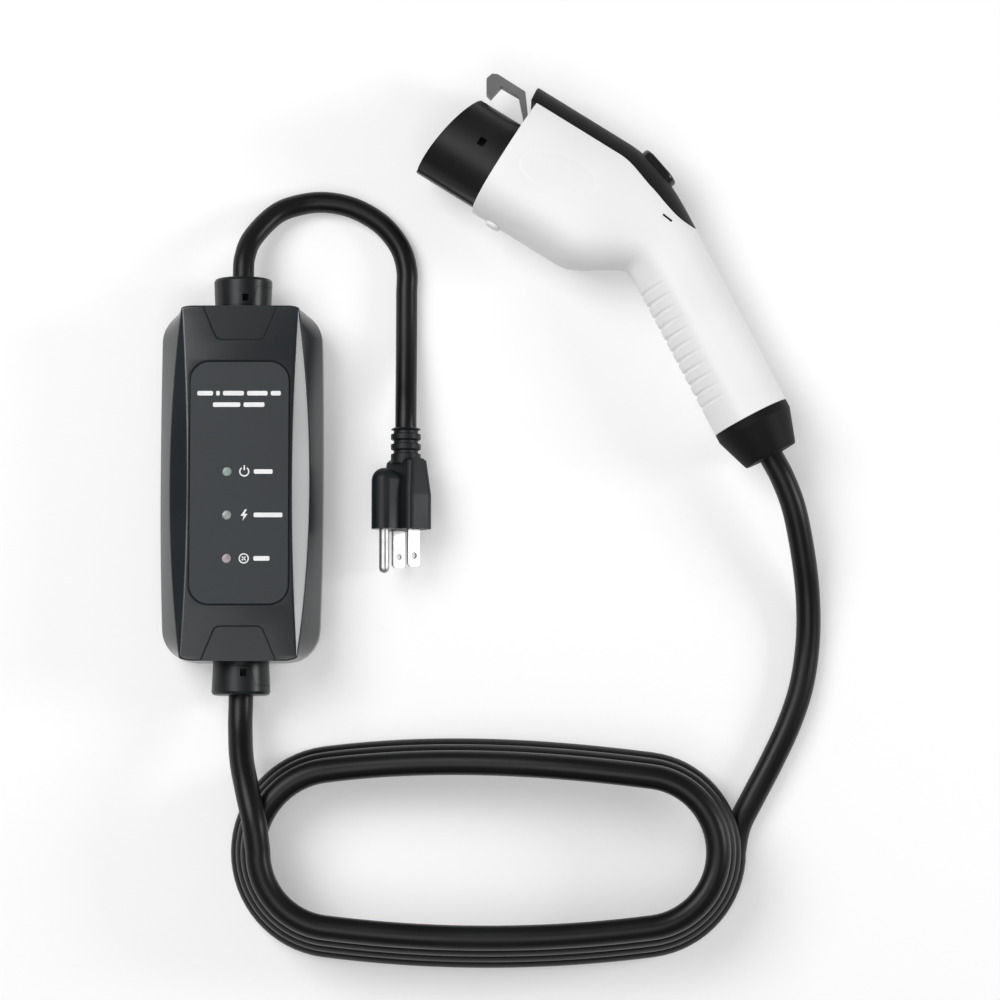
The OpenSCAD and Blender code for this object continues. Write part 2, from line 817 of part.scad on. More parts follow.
function section_point(s, inset, angle) = let (
    mid = (s[0] + s[1]) / 2,
    half = norm(s[0] - s[1]) / 2,
    p = egg(half - inset, s[2] - inset, s[3], s[4], angle),
    q = mid + p[0] * unit(s[0] - s[1])
) [q[0], q[1], p[1]];
function parting_angle(s, inset) = let (half = norm(s[0] - s[1]) / 2)
    acos(pow(min(s[5] * half / (half - inset), 1), s[3] / 2));
function shell_loop(s) = let (a = parting_angle(s, 0), b = parting_angle(s, shell_wall)) concat(
    [for (j = [0:ring_steps]) section_point(s, 0, mix(a, 180, j / ring_steps))],
    [for (j = [ring_steps:-1:0]) section_point(s, shell_wall, mix(b, 180, j / ring_steps))]
);
function cover_loop(s) = let (a = parting_angle(s, 0)) [
    for (j = [0:cover_steps]) let (t = mix(-a, a, j / cover_steps), p = section_point(s, 0, t))
        [p[0], p[1], sign(t) * p[2]]
];

module shell_half_form() {
    loft([
        shell_loop(body_section(front_u)),
        for (i = [0:turn_steps]) each let (t = i / turn_steps)
            t < cover_end_t - 0.001 ? [shell_loop(turn_section(t, parting_share(t)))]
            : t < cover_end_t + 0.001 ? [
                shell_loop(turn_section(t, parting_share(t))), shell_loop(turn_section(t + 0.004, 1))
            ]
            : [shell_loop(turn_section(t, 1))],
        shell_loop(grip_section(grip_l))
    ]);
}

module finger_grooves() {
    ring_r = grip_r - groove_depth + groove_r + groove_fade;
    for (i = [0:groove_count - 1]) {
        at = grip_mid + (groove_start + i * groove_pitch) * grip_dir + groove_fade * grip_up;
        translate([at[0], at[1], 0]) rotate([0, 0, -grip_angle])
            round_x() translate([ring_r, 0]) circle(groove_r, $fn = 24);
    }
}

module screw_bosses() {
    for (s = body_screws) translate([s[0], s[1], 0.1]) cylinder(r = boss_r, h = s[2] - 0.1);
    lever_side = lever_w / 2 + run_gap;
    translate([pivot[0], pivot[1], lever_side]) cylinder(r = pivot_boss_r, h = boss_reach - lever_side);
}

module body_lug() {
    translate([lug_u, body_low - lug_rise, 0]) rotate([-90, 0, 0]) difference() {
        cylinder(r = lug_r, h = lug_rise + 1.5);
        translate([-lug_r * 2, 0, -1]) cube([lug_r * 4, lug_r * 2, lug_rise + 4]);
    }
}

// One half of the connector body, on the side of positive w
module shell_half() {
    difference() {
        union() {
            shell_half_form();
            screw_bosses();
            body_lug();
        }
        finger_grooves();
        translate([pivot[0], pivot[1], -1]) cylinder(r = pin_r + 0.05, h = pin_half + 1.2);
        translate([slot_at[0], slot_at[1], 0]) rotate([0, 0, slot_turn])
            translate([-slot_size[0] / 2, -slot_size[1] / 2, 14]) cube([slot_size[0], slot_size[1], 20]);
    }
}

module connector_shell_left() {
    color("#f2f3f3") at_nose() difference() {
        shell_half();
        for (s = body_screws) translate([s[0], s[1], -1]) cylinder(r = body_screw_r + 0.05, h = s[2] - 1);
    }
}

module connector_shell_right() {
    color("#eeefef") at_nose() mirror([0, 0, 1]) difference() {
        shell_half();
        for (s = body_screws) {
            translate([s[0], s[1], -1]) cylinder(r = body_screw_r + 0.05, h = 2 * body_half_w);
            translate([s[0], s[1], body_screw_seat])
                cylinder(r = body_screw_head_r + fit_gap, h = body_half_w);
        }
    }
}

module connector_screws() {
    color("#9a9da0") at_nose() for (s = body_screws) translate([s[0], s[1], 0]) difference() {
        union() {
            translate([0, 0, -body_screw_seat - 0.1 - body_screw_head_h])
                cylinder(r = body_screw_head_r, h = body_screw_head_h);
            translate([0, 0, -body_screw_seat - 0.5])
                cylinder(r = body_screw_r, h = body_screw_seat + 0.5 + s[2] - body_screw_tip_gap - 0.5);
        }
        translate([0, 0, -body_screw_seat - 0.1 - 2 * body_screw_head_h])
            cylinder(r = body_screw_r * 0.8, h = body_screw_head_h * 1.6, $fn = 6);
    }
}

// Outline of the body section at the front, cut off at the parting line, as a plate of some thickness
module front_plate(u0, u1, inset) {
    s = body_section(0);
    translate([u0, 0, 0]) rotate([90, 0, 90]) linear_extrude(u1 - u0) intersection() {
        polygon([
            for (i = [0:47]) let (p = section_point(s, inset, i * 7.5)) [p[1], (i < 24 ? 1 : -1) * p[2]]
        ]);
        translate([-100, -100]) square([100 + parting_v - fit_gap, 200]);
    }
}

// Rounded block that gives the nose its slanted, slightly bulging rim
module rim_block() {
    chord = norm([nose_reach_low - nose_reach_top, nose_d]);
    radius = chord * chord / (8 * rim_bulge) + rim_bulge / 2;
    inward = [nose_d, nose_reach_top - nose_reach_low] / chord;
    at = [-(nose_reach_low + nose_reach_top) / 2, 0] + (radius - rim_bulge) * inward;
    translate([at[0], at[1], 0]) cylinder(r = radius, h = 4 * nose_d, center = true, $fn = 200);
}

module along_u(u) {
    translate([u, 0, 0]) rotate([0, 90, 0]) children();
}

module nose_barrel() {
    reach = nose_reach_low + 4;
    color("#1a1b1d") at_nose() difference() {
        intersection() {
            union() {
                along_u(-reach) cylinder(r = nose_r, h = reach + flange_u[1], $fn = 96);
                along_u(0) cylinder(r = tail_r, h = tail_u, $fn = 96);
                front_plate(flange_u[0], flange_u[1], shell_wall + fit_gap);
                translate([-reach, -nose_r - key_rib[1], -key_rib[0] / 2])
                    cube([reach, key_rib[1] + 1, key_rib[0]]);
            }
            rim_block();
        }
        along_u(-reach - 1) cylinder(r = nose_r - nose_wall, h = reach + 60, $fn = 96);
        translate([flange_u[0] - 3, lever_slot[0], -lever_w / 2 - run_gap])
            cube([8, lever_slot[1] - lever_slot[0], lever_w + 2 * run_gap]);
        translate([nose_slot_at[0] - nose_slot_size[0] / 2, nose_slot_at[1] - nose_slot_size[1] / 2, 0])
            cube([nose_slot_size[0], nose_slot_size[1], nose_d]);
    }
}

// Centres of the five contacts in v and w, with their radii
function contact_places() = [
    [power_at[0], power_at[1], power_r], [power_at[0], -power_at[1], power_r],
    [earth_at[0], earth_at[1], power_r], [signal_at[0], signal_at[1], signal_r],
    [signal_at[0], -signal_at[1], signal_r]
];

module contact_carrier() {
    color("#0f1011") at_nose() difference() {
        union() {
            along_u(carrier_face) cylinder(d = carrier_d, h = carrier_flange_u[1] - carrier_face);
            along_u(carrier_flange_u[0])
                cylinder(r = nose_r - nose_wall - fit_gap, h = carrier_flange_u[1] - carrier_flange_u[0]);
        }
        for (c = contact_places()) translate([carrier_face - 1, c[0], c[1]]) rotate([0, 90, 0])
            cylinder(r = c[2] + 0.1, h = 40);
    }
}

// Tubular contact with a solder cup at its back
module contact(i) {
    c = contact_places()[i];
    color("#c8a860") at_nose() translate([0, c[0], c[1]]) round_x() polygon([
        [c[2] * 0.55, carrier_face + 1.5], [c[2] - 0.3, carrier_face + 1.5], [c[2], carrier_face + 2.2],
        [c[2], carrier_flange_u[1]], [c[2] * 0.8, carrier_flange_u[1] + 1], [c[2] * 0.8, contact_back],
        [c[2] * 0.5, contact_back], [c[2] * 0.5, contact_back - 5], [0, contact_back - 5],
        [0, carrier_flange_u[0]], [c[2] * 0.55, carrier_flange_u[0]]
    ]);
}

module line_contact() {
    contact(0);
}

module neutral_contact() {
    contact(1);
}

module earth_contact() {
    contact(2);
}

module pilot_contact() {
    contact(3);
}

module proximity_contact() {
    contact(4);
}

module top_cover_form() {
    low_u = cover_front_u + cover_rake / cover_rise * (body_top - body_low);
    front = [
        [cover_front_u, body_top], [low_u, body_low], body_half_w, body_power, body_egg, parting_ratio
    ];
    steps = cover_end_t * turn_steps;
    loft([
        cover_loop(front), cover_loop(body_section(12)),
        for (i = [0:steps]) cover_loop(turn_section(i / turn_steps, parting_share(i / turn_steps)))
    ]);
}

module button_slot(grow) {
    linear_extrude(60, center = true) stadium(button_l + 2 * grow, button_w + 2 * grow);
}

module top_cover() {
    color("#17181a") difference() {
        at_nose() difference() {
            top_cover_form();
            translate([pocket_u[0], 0, -pocket_half_w])
                cube([pocket_u[1] - pocket_u[0], body_top - pocket_roof, 2 * pocket_half_w]);
        }
        at_button() button_slot(run_gap);
        at_button() translate([0, 0, 30 + button_skin]) button_slot(button_flange + run_gap);
    }
}

// Thumb pad with a domed edge, a retaining flange and a stem that bears on the lever
module release_button() {
    color("#0e0f10") at_button() {
        translate([0, 0, -button_rise + 0.8]) linear_extrude(button_rise + button_skin + run_gap - 0.8)
            stadium(button_l, button_w);
        translate([0, 0, -button_rise]) linear_extrude(1) stadium(button_l - 1.4, button_w - 1.4);
        translate([0, 0, button_skin + run_gap]) linear_extrude(button_flange_t)
            stadium(button_l + 2 * button_flange, button_w + 2 * button_flange);
        cylinder(r = stem_r, h = stem_l);
    }
}

module latch_lever() {
    color("#3f4245") at_nose() translate([pivot[0], pivot[1], -lever_w / 2]) difference() {
        union() {
            linear_extrude(lever_w) polygon(concat(
                lever_top, [[0, tail_high], [tail_end, tail_high], [tail_end, tail_low]],
                [[8, tail_low], [3, -2.6]], lever_low
            ));
            cylinder(r = pivot_boss_r, h = lever_w);
        }
        translate([0, 0, -1]) cylinder(r = pin_r + run_gap, h = lever_w + 2);
    }
}

module latch_pin() {
    color("#b4b7ba") at_nose() translate([pivot[0], pivot[1], 0])
        cylinder(r = pin_r, h = 2 * pin_half, center = true);
}

module latch_spring() {
    low = bracket_v[1] + spring_wire + 0.05;
    high = pivot[1] + tail_low - spring_wire - 0.05;
    count = spring_turns * 8;
    coil = [for (i = [0:count]) [
        spring_u + spring_r * cos(i * 45), mix(low, high, i / count), spring_r * sin(i * 45)
    ]];
    color("#c4c7ca") at_nose() tube(coil, spring_wire, 6, [0, 1, 0]);
}

module switch_bracket() {
    color("#2b2e31") at_nose() difference() {
        union() {
            translate([bracket_u[0], bracket_v[0], -bracket_half_w])
                cube([bracket_u[1] - bracket_u[0], bracket_v[1] - bracket_v[0], 2 * bracket_half_w]);
            translate([spring_u, bracket_v[1] - 0.5, 0]) rotate([-90, 0, 0])
                cylinder(r = spring_r - spring_wire - 0.3, h = spring_peg_h);
        }
        for (w = [-1, 1]) translate([bracket_hole[0], bracket_v[0] - 1, w * bracket_hole[1]])
            rotate([-90, 0, 0]) cylinder(r = 1.6, h = bracket_v[1] - bracket_v[0] + 2);
    }
}

module latch_switch() {
    color("#101113") at_nose() translate([bracket_u[0] + 1, bracket_v[1], lever_w / 2 + 1]) {
        cube([switch_size[0], switch_size[1], switch_size[2]]);
        translate([switch_size[0] - 3, switch_size[1] - 0.5, 1.5]) cube([1.6, 1.8, 3]);
        for (i = [0:2]) translate([1 + i * 4, 1.5, switch_size[2] - 0.5]) cube([1.2, 0.8, 3.4]);
    }
}

module handle_end_cap() {
    r_end = cap_end_d / 2;
    color("#141516") at_nose() at_grip_end() round_x() polygon([
        [cable_bore_r, -cap_plug_l], [cap_plug_r - cap_edge, -cap_plug_l],
        [cap_plug_r, -cap_plug_l + cap_edge], [cap_plug_r, fit_gap], [cap_r, fit_gap], [cap_r, cap_band],
        [r_end, cap_l - 2 * cap_edge], [r_end - cap_edge, cap_l], [cable_bore_r, cap_l + cap_edge]
    ]);
}

module handle_cable_seal() {
    color("#0b0c0d") at_nose() at_grip_end() round_x() polygon([
        [cable_d / 2 + 0.1, -cap_plug_l - 4.2], [cap_plug_r - 2, -cap_plug_l - 4.2],
        [cap_plug_r - 2, -cap_plug_l - 0.2], [cable_d / 2 + 0.1, -cap_plug_l - 0.2]
    ]);
}

module cable_clamp() {
    outer = cable_bore_r + clamp_wall;
    reach = grip_r - shell_wall - 0.5;
    l = clamp_u[1] - clamp_u[0];
    color("#55585b") at_nose() at_grip_end() translate([clamp_u[0], 0, 0]) difference() {
        union() {
            rotate([0, 90, 0]) cylinder(r = outer, h = l);
            translate([0, -reach, -1.5]) cube([l, 2 * reach, 3]);
        }
        translate([-1, 0, 0]) rotate([0, 90, 0]) cylinder(r = cable_bore_r, h = l + 2);
    }
}

// Plug frame: x toward the front of the blades, y along the lead, z from blade to blade
module plug_slice(y, draw_in, l) {
    half = plug_span / 2 - draw_in;
    back = plug_back - draw_in;
    front = plug_front_q - draw_in;
    for (z = [-1, 1], x = [-back + plug_corner, front - plug_corner])
        translate([x, y, z * (half - plug_corner)]) rotate([-90, 0, 0])
            cylinder(r = plug_corner, h = l, $fn = 20);
}

module plug_neck() {
    pitch = neck_l / rib_count;
    round_y() polygon(concat(
        [[0, plug_l - 2], [neck_d / 2, plug_l - 2]],
        [for (i = [0:rib_count - 1]) each let (y = plug_l + i * pitch) [
            [neck_d / 2, y + pitch * 0.5], [neck_d / 2 - rib_depth, y + pitch * 0.6],
            [neck_d / 2 - rib_depth, y + pitch * 0.85], [neck_d / 2, y + pitch]
        ]],
        [[neck_d / 2 - 0.8, plug_l + neck_l + 0.6], [0, plug_l + neck_l + 0.6]]
    ));
}

module plug_body() {
    color("#17191b") at_plug() difference() {
        union() {
            hull() {
                plug_slice(0, 0, 16);
                plug_slice(plug_l - 2.2, 1.6, 1);
                plug_slice(plug_l - 1, 2.6, 1);
            }
            hull() {
                translate([-earth_offset, 0, 0]) rotate([-90, 0, 0])
                    cylinder(r = bump_r, h = bump_l - bump_r, $fn = 32);
                translate([-earth_offset, bump_l - bump_r, 0]) sphere(bump_r, $fn = 24);
                rotate([-90, 0, 0]) cylinder(r = bump_r, h = bump_l - bump_r, $fn = 32);
            }
            plug_neck();
        }
        translate([0, plug_l + neck_l - neck_bore_depth, 0]) rotate([-90, 0, 0])
            cylinder(r = lead_bore_r, h = 20);
        for (z = [-1, 1]) translate([-blade_w / 2 - 0.05, -1, z * blade_pitch / 2 - blade_t / 2 - 0.05])
            cube([blade_w + 0.1, root_l + 1, blade_t + 0.1]);
        translate([-earth_offset, -1, 0]) rotate([-90, 0, 0])
            cylinder(r = earth_d / 2 - root_step + 0.05, h = root_l + 1);
    }
}

module blade(side) {
    tip = 1.2;
    color("#c3c6c9") at_plug() translate([0, 0, side * blade_pitch / 2 - blade_t / 2]) difference() {
        linear_extrude(blade_t) polygon([
            [-blade_w / 2, root_l], [blade_w / 2, root_l], [blade_w / 2, tip - blade_l],
            [blade_w / 2 - tip, -blade_l], [tip - blade_w / 2, -blade_l], [-blade_w / 2, tip - blade_l]
        ]);
        translate([0, -blade_l + 5.2, -1]) cylinder(r = 1.6, h = blade_t + 2);
    }
}

module line_blade() {
    blade(1);
}

module neutral_blade() {
    blade(-1);
}

module earth_pin() {
    r = earth_d / 2;
    color("#c8cbce") at_plug() translate([-earth_offset, 0, 0]) round_y() polygon(concat(
        [[0, root_l], [r - root_step, root_l], [r - root_step, 0], [r, 0], [r, -earth_l + r]],
        [for (a = [15:15:75]) [r * cos(a), -earth_l + r - r * sin(a)]], [[0, -earth_l]]
    ));
}

module mains_lead() {
    color("#101113") tube(smooth_path(lead_route, 2), lead_d / 2);
}

module cable_box_end() {
    color("#101113") tube(smooth_path(box_end_route, 2), cable_d / 2);
}

module cable_handle_end() {
    color("#101113") tube(smooth_path(handle_end_route, 2), cable_d / 2);
}

// Middle line of the lowest turn, moved outward: two round ends and two bowed sides
module coil_oval(grow) {
    end_r = coil_r + grow;
    side_r = coil_side_r + grow;
    end_turn = 90 - coil_side_angle;
    polygon([for (side = [1, -1]) each concat(
        [for (i = [-8:8]) let (a = end_turn * i / 8) side * [coil_half_run + end_r * cos(a), end_r * sin(a)]],
        [for (i = [-7:7]) let (a = 90 + coil_side_angle * i / 8)
            side * [side_r * cos(a), coil_mid - coil_side_r + side_r * sin(a)]]
    )]);
}

// Oval hank: four turns stacked, each a little smaller than the one below
module cable_coil() {
    color("#0e0f11") translate(coil_pos) for (i = [0:3]) translate([0, 0, i * coil_step])
        linear_extrude(i < 3 ? coil_step : cable_d) difference() {
            coil_oval(cable_d / 2 - i * coil_lean);
            coil_oval(-cable_d / 2 - i * coil_lean);
        }
}

box_front_cover();
box_rear_cover();
box_gasket();
box_screws();
indicator_panel();
power_lens();
charging_lens();
fault_lens();
control_board();
status_leds();
line_relay();
neutral_relay();
supply_module();
current_sensor();
board_fuse();
input_terminals();
output_terminals();
upper_gland_base();
upper_gland_collar();
upper_gland_seal();
lower_gland_base();
lower_gland_collar();
lower_gland_seal();
connector_shell_left();
connector_shell_right();
connector_screws();
nose_barrel();
contact_carrier();
line_contact();
neutral_contact();
earth_contact();
pilot_contact();
proximity_contact();
top_cover();
release_button();
latch_lever();
latch_pin();
latch_spring();
switch_bracket();
latch_switch();
handle_end_cap();
handle_cable_seal();
cable_clamp();
plug_body();
line_blade();
neutral_blade();
earth_pin();
mains_lead();
cable_box_end();
cable_coil();
cable_handle_end();
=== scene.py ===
import collections
import json
import math

import bmesh
import bpy
import numpy as np
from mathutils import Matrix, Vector


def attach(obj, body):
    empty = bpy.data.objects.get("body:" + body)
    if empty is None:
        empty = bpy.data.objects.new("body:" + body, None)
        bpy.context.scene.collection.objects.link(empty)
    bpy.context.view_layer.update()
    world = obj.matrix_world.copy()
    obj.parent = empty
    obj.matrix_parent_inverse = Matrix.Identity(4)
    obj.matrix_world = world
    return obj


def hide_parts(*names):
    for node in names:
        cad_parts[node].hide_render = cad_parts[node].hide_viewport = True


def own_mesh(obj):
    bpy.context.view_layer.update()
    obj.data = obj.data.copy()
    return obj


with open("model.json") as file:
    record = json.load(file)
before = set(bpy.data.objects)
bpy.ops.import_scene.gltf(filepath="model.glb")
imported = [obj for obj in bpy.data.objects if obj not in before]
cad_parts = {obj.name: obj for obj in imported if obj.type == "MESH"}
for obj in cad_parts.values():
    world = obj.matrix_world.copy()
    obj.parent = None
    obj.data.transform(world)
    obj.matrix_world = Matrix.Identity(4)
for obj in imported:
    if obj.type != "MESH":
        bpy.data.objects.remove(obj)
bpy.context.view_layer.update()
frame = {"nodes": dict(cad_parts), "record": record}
nodes = frame["nodes"]
scene = bpy.context.scene
scene.view_settings.view_transform = "Standard"
MM = 0.001


# Surfaces

NOISE_LOW, NOISE_HIGH = 0.2, 0.8
SLOW_DETAIL = 0
GRAIN_DETAIL = 3
BUMP_DISTANCE = 0.0002


def cleared_tree(owner, output_type):
    """Empties the node tree of a material or a world and gives it an output."""
    owner.use_nodes = True
    tree = owner.node_tree
    tree.nodes.clear()
    return tree, tree.nodes.new(output_type)


def noise(tree, scale, detail, stretch=None):
    """Noise over a piece's own coordinates, drawn out along an axis where stretch is small."""
    coords = tree.nodes.new("ShaderNodeTexCoord")
    texture = tree.nodes.new("ShaderNodeTexNoise")
    texture.inputs["Scale"].default_value = scale
    texture.inputs["Detail"].default_value = detail
    source = coords.outputs["Object"]
    if stretch:
        mapping = tree.nodes.new("ShaderNodeMapping")
        mapping.inputs["Scale"].default_value = stretch
        tree.links.new(source, mapping.inputs["Vector"])
        source = mapping.outputs["Vector"]
    tree.links.new(source, texture.inputs["Vector"])
    return texture.outputs["Fac"]


def drift(tree, source, low, high, target):
    """Sends a slow noise to a number socket, between two values."""
    node = tree.nodes.new("ShaderNodeMapRange")
    node.interpolation_type = "SMOOTHSTEP"
    node.inputs["From Min"].default_value = NOISE_LOW
    node.inputs["From Max"].default_value = NOISE_HIGH
    node.inputs["To Min"].default_value = low
    node.inputs["To Max"].default_value = high
    tree.links.new(source, node.inputs["Value"])
    tree.links.new(node.outputs["Result"], target)


def tint(tree, source, low, high, target):
    """Sends a slow noise to a colour socket, between two colours."""
    node = tree.nodes.new("ShaderNodeValToRGB")
    ramp = node.color_ramp
    ramp.interpolation = "EASE"
    for element, position, colour in zip(ramp.elements, (NOISE_LOW, NOISE_HIGH), (low, high)):
        element.position = position
        element.color = (*colour, 1)
    tree.links.new(source, node.inputs["Fac"])
    tree.links.new(node.outputs["Color"], target)


def bump(tree, shader, source, strength):
    """Turns a noise into fine relief on a surface."""
    node = tree.nodes.new("ShaderNodeBump")
    node.inputs["Strength"].default_value = strength
    node.inputs["Distance"].default_value = BUMP_DISTANCE
    tree.links.new(source, node.inputs["Height"])
    tree.links.new(node.outputs["Normal"], shader.inputs["Normal"])


def finished(name, low, high, rough, grain, depth, cloud=40, specular=0.5, metallic=0.0, stretch=None):
    """Moulded or plated surface: fine grain as bump, slow drift in colour and roughness."""
    material = bpy.data.materials.new(name)
    tree, output = cleared_tree(material, "ShaderNodeOutputMaterial")
    shader = tree.nodes.new("ShaderNodeBsdfPrincipled")
    tree.links.new(shader.outputs["BSDF"], output.inputs["Surface"])
    slow = noise(tree, cloud, SLOW_DETAIL)
    tint(tree, slow, low, high, shader.inputs["Base Color"])
    drift(tree, slow, rough[0], rough[1], shader.inputs["Roughness"])
    bump(tree, shader, noise(tree, grain, GRAIN_DETAIL, stretch), depth)
    shader.inputs["Metallic"].default_value = metallic
    shader.inputs["Specular IOR Level"].default_value = specular
    return material


def grey(level):
    return (level, level, level)


def cool(level):
    return (level * 0.93, level, level * 1.08)


def cold(level):
    return (level * 0.8, level, level * 1.15)


# Colours and roughness drift between two values, grain and cloud are scales of noise, depth is the bump's
LENS = dict(rough=(0.2, 0.28), grain=900, depth=0.05, cloud=600)
PART = dict(rough=(0.4, 0.48), grain=900, depth=0.08)
FINISHES = {
    "box_plastic": dict(low=cold(0.0145), high=cold(0.018), rough=(0.2, 0.22), grain=1500, depth=0.07),
    "panel_film": dict(
        low=cold(0.0205), high=cold(0.024), rough=(0.42, 0.48), grain=1900, depth=0.14, specular=0.35,
    ),
    "gland_plastic": dict(
        low=cold(0.008), high=cold(0.011), rough=(0.3, 0.37), grain=1600, depth=0.1, specular=0.3,
    ),
    "white_plastic": dict(low=grey(0.86), high=grey(0.88), rough=(0.36, 0.42), grain=1300, depth=0.04),
    "nose_plastic": dict(
        low=grey(0.007), high=grey(0.009), rough=(0.36, 0.42), grain=1400, depth=0.08, specular=0.32,
    ),
    "cover_plastic": dict(
        low=grey(0.007), high=grey(0.009), rough=(0.45, 0.52), grain=1400, depth=0.12, specular=0.15,
    ),
    "button_plastic": dict(low=grey(0.006), high=grey(0.008), rough=(0.16, 0.22), grain=1100, depth=0.04),
    "latch_plastic": dict(low=grey(0.12), high=grey(0.15), rough=(0.38, 0.46), grain=1300, depth=0.12),
    "cap_rubber": dict(
        low=grey(0.005), high=grey(0.007), rough=(0.55, 0.62), grain=1500, depth=0.18, specular=0.15,
    ),
    "plug_plastic": dict(
        low=cold(0.009), high=cold(0.012), rough=(0.38, 0.46), grain=1500, depth=0.14, specular=0.25,
    ),
    "cable_rubber": dict(
        low=cool(0.004), high=cool(0.006), rough=(0.32, 0.4), grain=700, depth=0.06, cloud=25, specular=0.25,
    ),
    "seal_rubber": dict(
        low=grey(0.008), high=grey(0.01), rough=(0.6, 0.68), grain=1500, depth=0.15, specular=0.3,
    ),
    "nickel": dict(
        low=grey(0.5), high=grey(0.56), rough=(0.4, 0.46), grain=900, depth=0.04, cloud=300,
        metallic=1.0, stretch=(1, 0.05, 1),
    ),
    "steel": dict(
        low=grey(0.5), high=grey(0.56), rough=(0.3, 0.4), grain=1200, depth=0.06, cloud=250, metallic=1.0,
    ),
    "contact_brass": dict(
        low=(0.62, 0.5, 0.28), high=(0.7, 0.58, 0.34), rough=(0.25, 0.33), grain=900, depth=0.05,
        cloud=250, metallic=1.0,
    ),
    "lens_green": dict(LENS, low=(0.21, 0.27, 0.25), high=(0.26, 0.33, 0.3)),
    "lens_grey": dict(LENS, low=(0.26, 0.28, 0.28), high=(0.31, 0.33, 0.32)),
    "lens_red": dict(LENS, low=(0.3, 0.25, 0.27), high=(0.36, 0.3, 0.32)),
    "circuit_board": dict(
        low=(0.01, 0.09, 0.045), high=(0.015, 0.12, 0.06), rough=(0.35, 0.45), grain=800, depth=0.1,
    ),
    "component_black": dict(low=grey(0.015), high=grey(0.02), rough=(0.42, 0.5), grain=1200, depth=0.12),
    "component_yellow": dict(PART, low=(0.5, 0.4, 0.1), high=(0.58, 0.46, 0.13)),
    "component_green": dict(PART, low=(0.02, 0.13, 0.06), high=(0.03, 0.17, 0.08)),
}
SURFACES = {name: finished(name, **finish) for name, finish in FINISHES.items()}
PRINT = finished("panel_print", grey(0.78), grey(0.84), rough=(0.5, 0.58), grain=2200, depth=0.1, cloud=300)

slot_of = {s["node"]: s["material_slot"] for s in frame["record"]["subparts"]}
for node_name, node_object in nodes.items():
    node_object.data.materials.clear()
    node_object.data.materials.append(SURFACES[slot_of[node_name]])


# Meshes, with points in millimetres

SHARP = 32
SHELL_SHARP = 40
CUT_RISE = 3.0
EDGE_SEGMENTS = 2
EDGE_SHARP = 40


def soften(mesh, angle):
    """Smooth shading, broken at edges sharper than an angle."""
    mesh.shade_smooth()
    mesh.set_sharp_from_angle(angle=math.radians(angle))


def solid_mesh(name, points, faces):
    """Mesh of closed solids, with its faces turned outward."""
    mesh = bpy.data.meshes.new(name)
    mesh.from_pydata((np.asarray(points, float) * MM).tolist(), [], faces)
    mesh.validate()
    work = bmesh.new()
    work.from_mesh(mesh)
    bmesh.ops.recalc_face_normals(work, faces=work.faces)
    work.to_mesh(mesh)
    work.free()
    return mesh


def add_object(name, data):
    made = bpy.data.objects.new(name, data)
    scene.collection.objects.link(made)
    return made


def add_piece(name, data, body):
    """Object that rides a body."""
    piece = add_object(name, data)
    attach(piece, body)
    return piece


def add_mesh(name, points, faces, slot, body="root", angle=SHARP, material=None):
    mesh = solid_mesh(name, points, faces)
    soften(mesh, angle)
    mesh.materials.append(material or SURFACES[slot])
    return add_piece(name, mesh, body)


def loft_faces(count, around):
    """Quads between closed loops of equal length, and a flat cap at each end."""
    faces = []
    for i in range(count - 1):
        low, high = i * around, (i + 1) * around
        for j in range(around):
            k = (j + 1) % around
            faces.append((low + j, low + k, high + k, high + j))
    last = (count - 1) * around
    return faces + [tuple(range(around))[::-1], tuple(last + j for j in range(around))]


def add_loft(name, rings, slot, **settings):
    rings = np.asarray(rings, float)
    return add_mesh(name, rings.reshape(-1, 3), loft_faces(*rings.shape[:2]), slot, **settings)


def stack(layers):
    """Points and faces of a closed solid through outlines of equal length, each at its height."""
    points = np.vstack([np.column_stack([flat, np.full(len(flat), z)]) for flat, z in layers])
    return points, loft_faces(len(layers), len(layers[0][0]))


def prism(outline, low, high):
    """Straight solid over an outline in x and y."""
    return stack([(outline, low), (outline, high)])


def flared(outline, wide, floor, slope, top):
    """Cutter over an outline that opens out to a wider outline at the surface."""
    return stack([(outline, floor), (outline, slope), (wide, top), (wide, top + CUT_RISE)])


def merge(parts):
    """Several solids as one set of points and faces."""
    points, faces = [], []
    for p, f in parts:
        faces += [tuple(i + len(points) for i in face) for face in f]
        points += list(p)
    return np.array(points), faces


def extend(piece, rings, angle):
    """Adds a second closed loft to a piece."""
    work = bmesh.new()
    work.from_mesh(piece.data)
    points = [work.verts.new(p) for p in rings.reshape(-1, 3) * MM]
    added = [work.faces.new([points[i] for i in face]) for face in loft_faces(*rings.shape[:2])]
    bmesh.ops.recalc_face_normals(work, faces=added)
    work.to_mesh(piece.data)
    work.free()
    soften(piece.data, angle)


def cut(piece, cutters, angle):
    """Takes closed solids out of a piece for good."""
    for points, faces in cutters:
        mesh = solid_mesh("cutter", points, faces)
        tool = add_object("cutter", mesh)
        modifier = piece.modifiers.new("cut", "BOOLEAN")
        modifier.operation = "DIFFERENCE"
        modifier.solver = "EXACT"
        modifier.object = tool
        bpy.context.view_layer.update()
        evaluated = piece.evaluated_get(bpy.context.evaluated_depsgraph_get())
        made = bpy.data.meshes.new_from_object(evaluated)
        piece.modifiers.clear()
        old = piece.data
        piece.data = made
        made.name = piece.name
        bpy.data.meshes.remove(old)
        bpy.data.objects.remove(tool)
        bpy.data.meshes.remove(mesh)
    soften(piece.data, angle)


def ease_edges(piece, width):
    """Rounds a piece's sharp edges off."""
    modifier = piece.modifiers.new("edge", "BEVEL")
    modifier.width = width * MM
    modifier.segments = EDGE_SEGMENTS
    modifier.limit_method = "ANGLE"
    modifier.angle_limit = math.radians(EDGE_SHARP)
    modifier.harden_normals = False
    modifier.use_clamp_overlap = True


# Outlines and curves

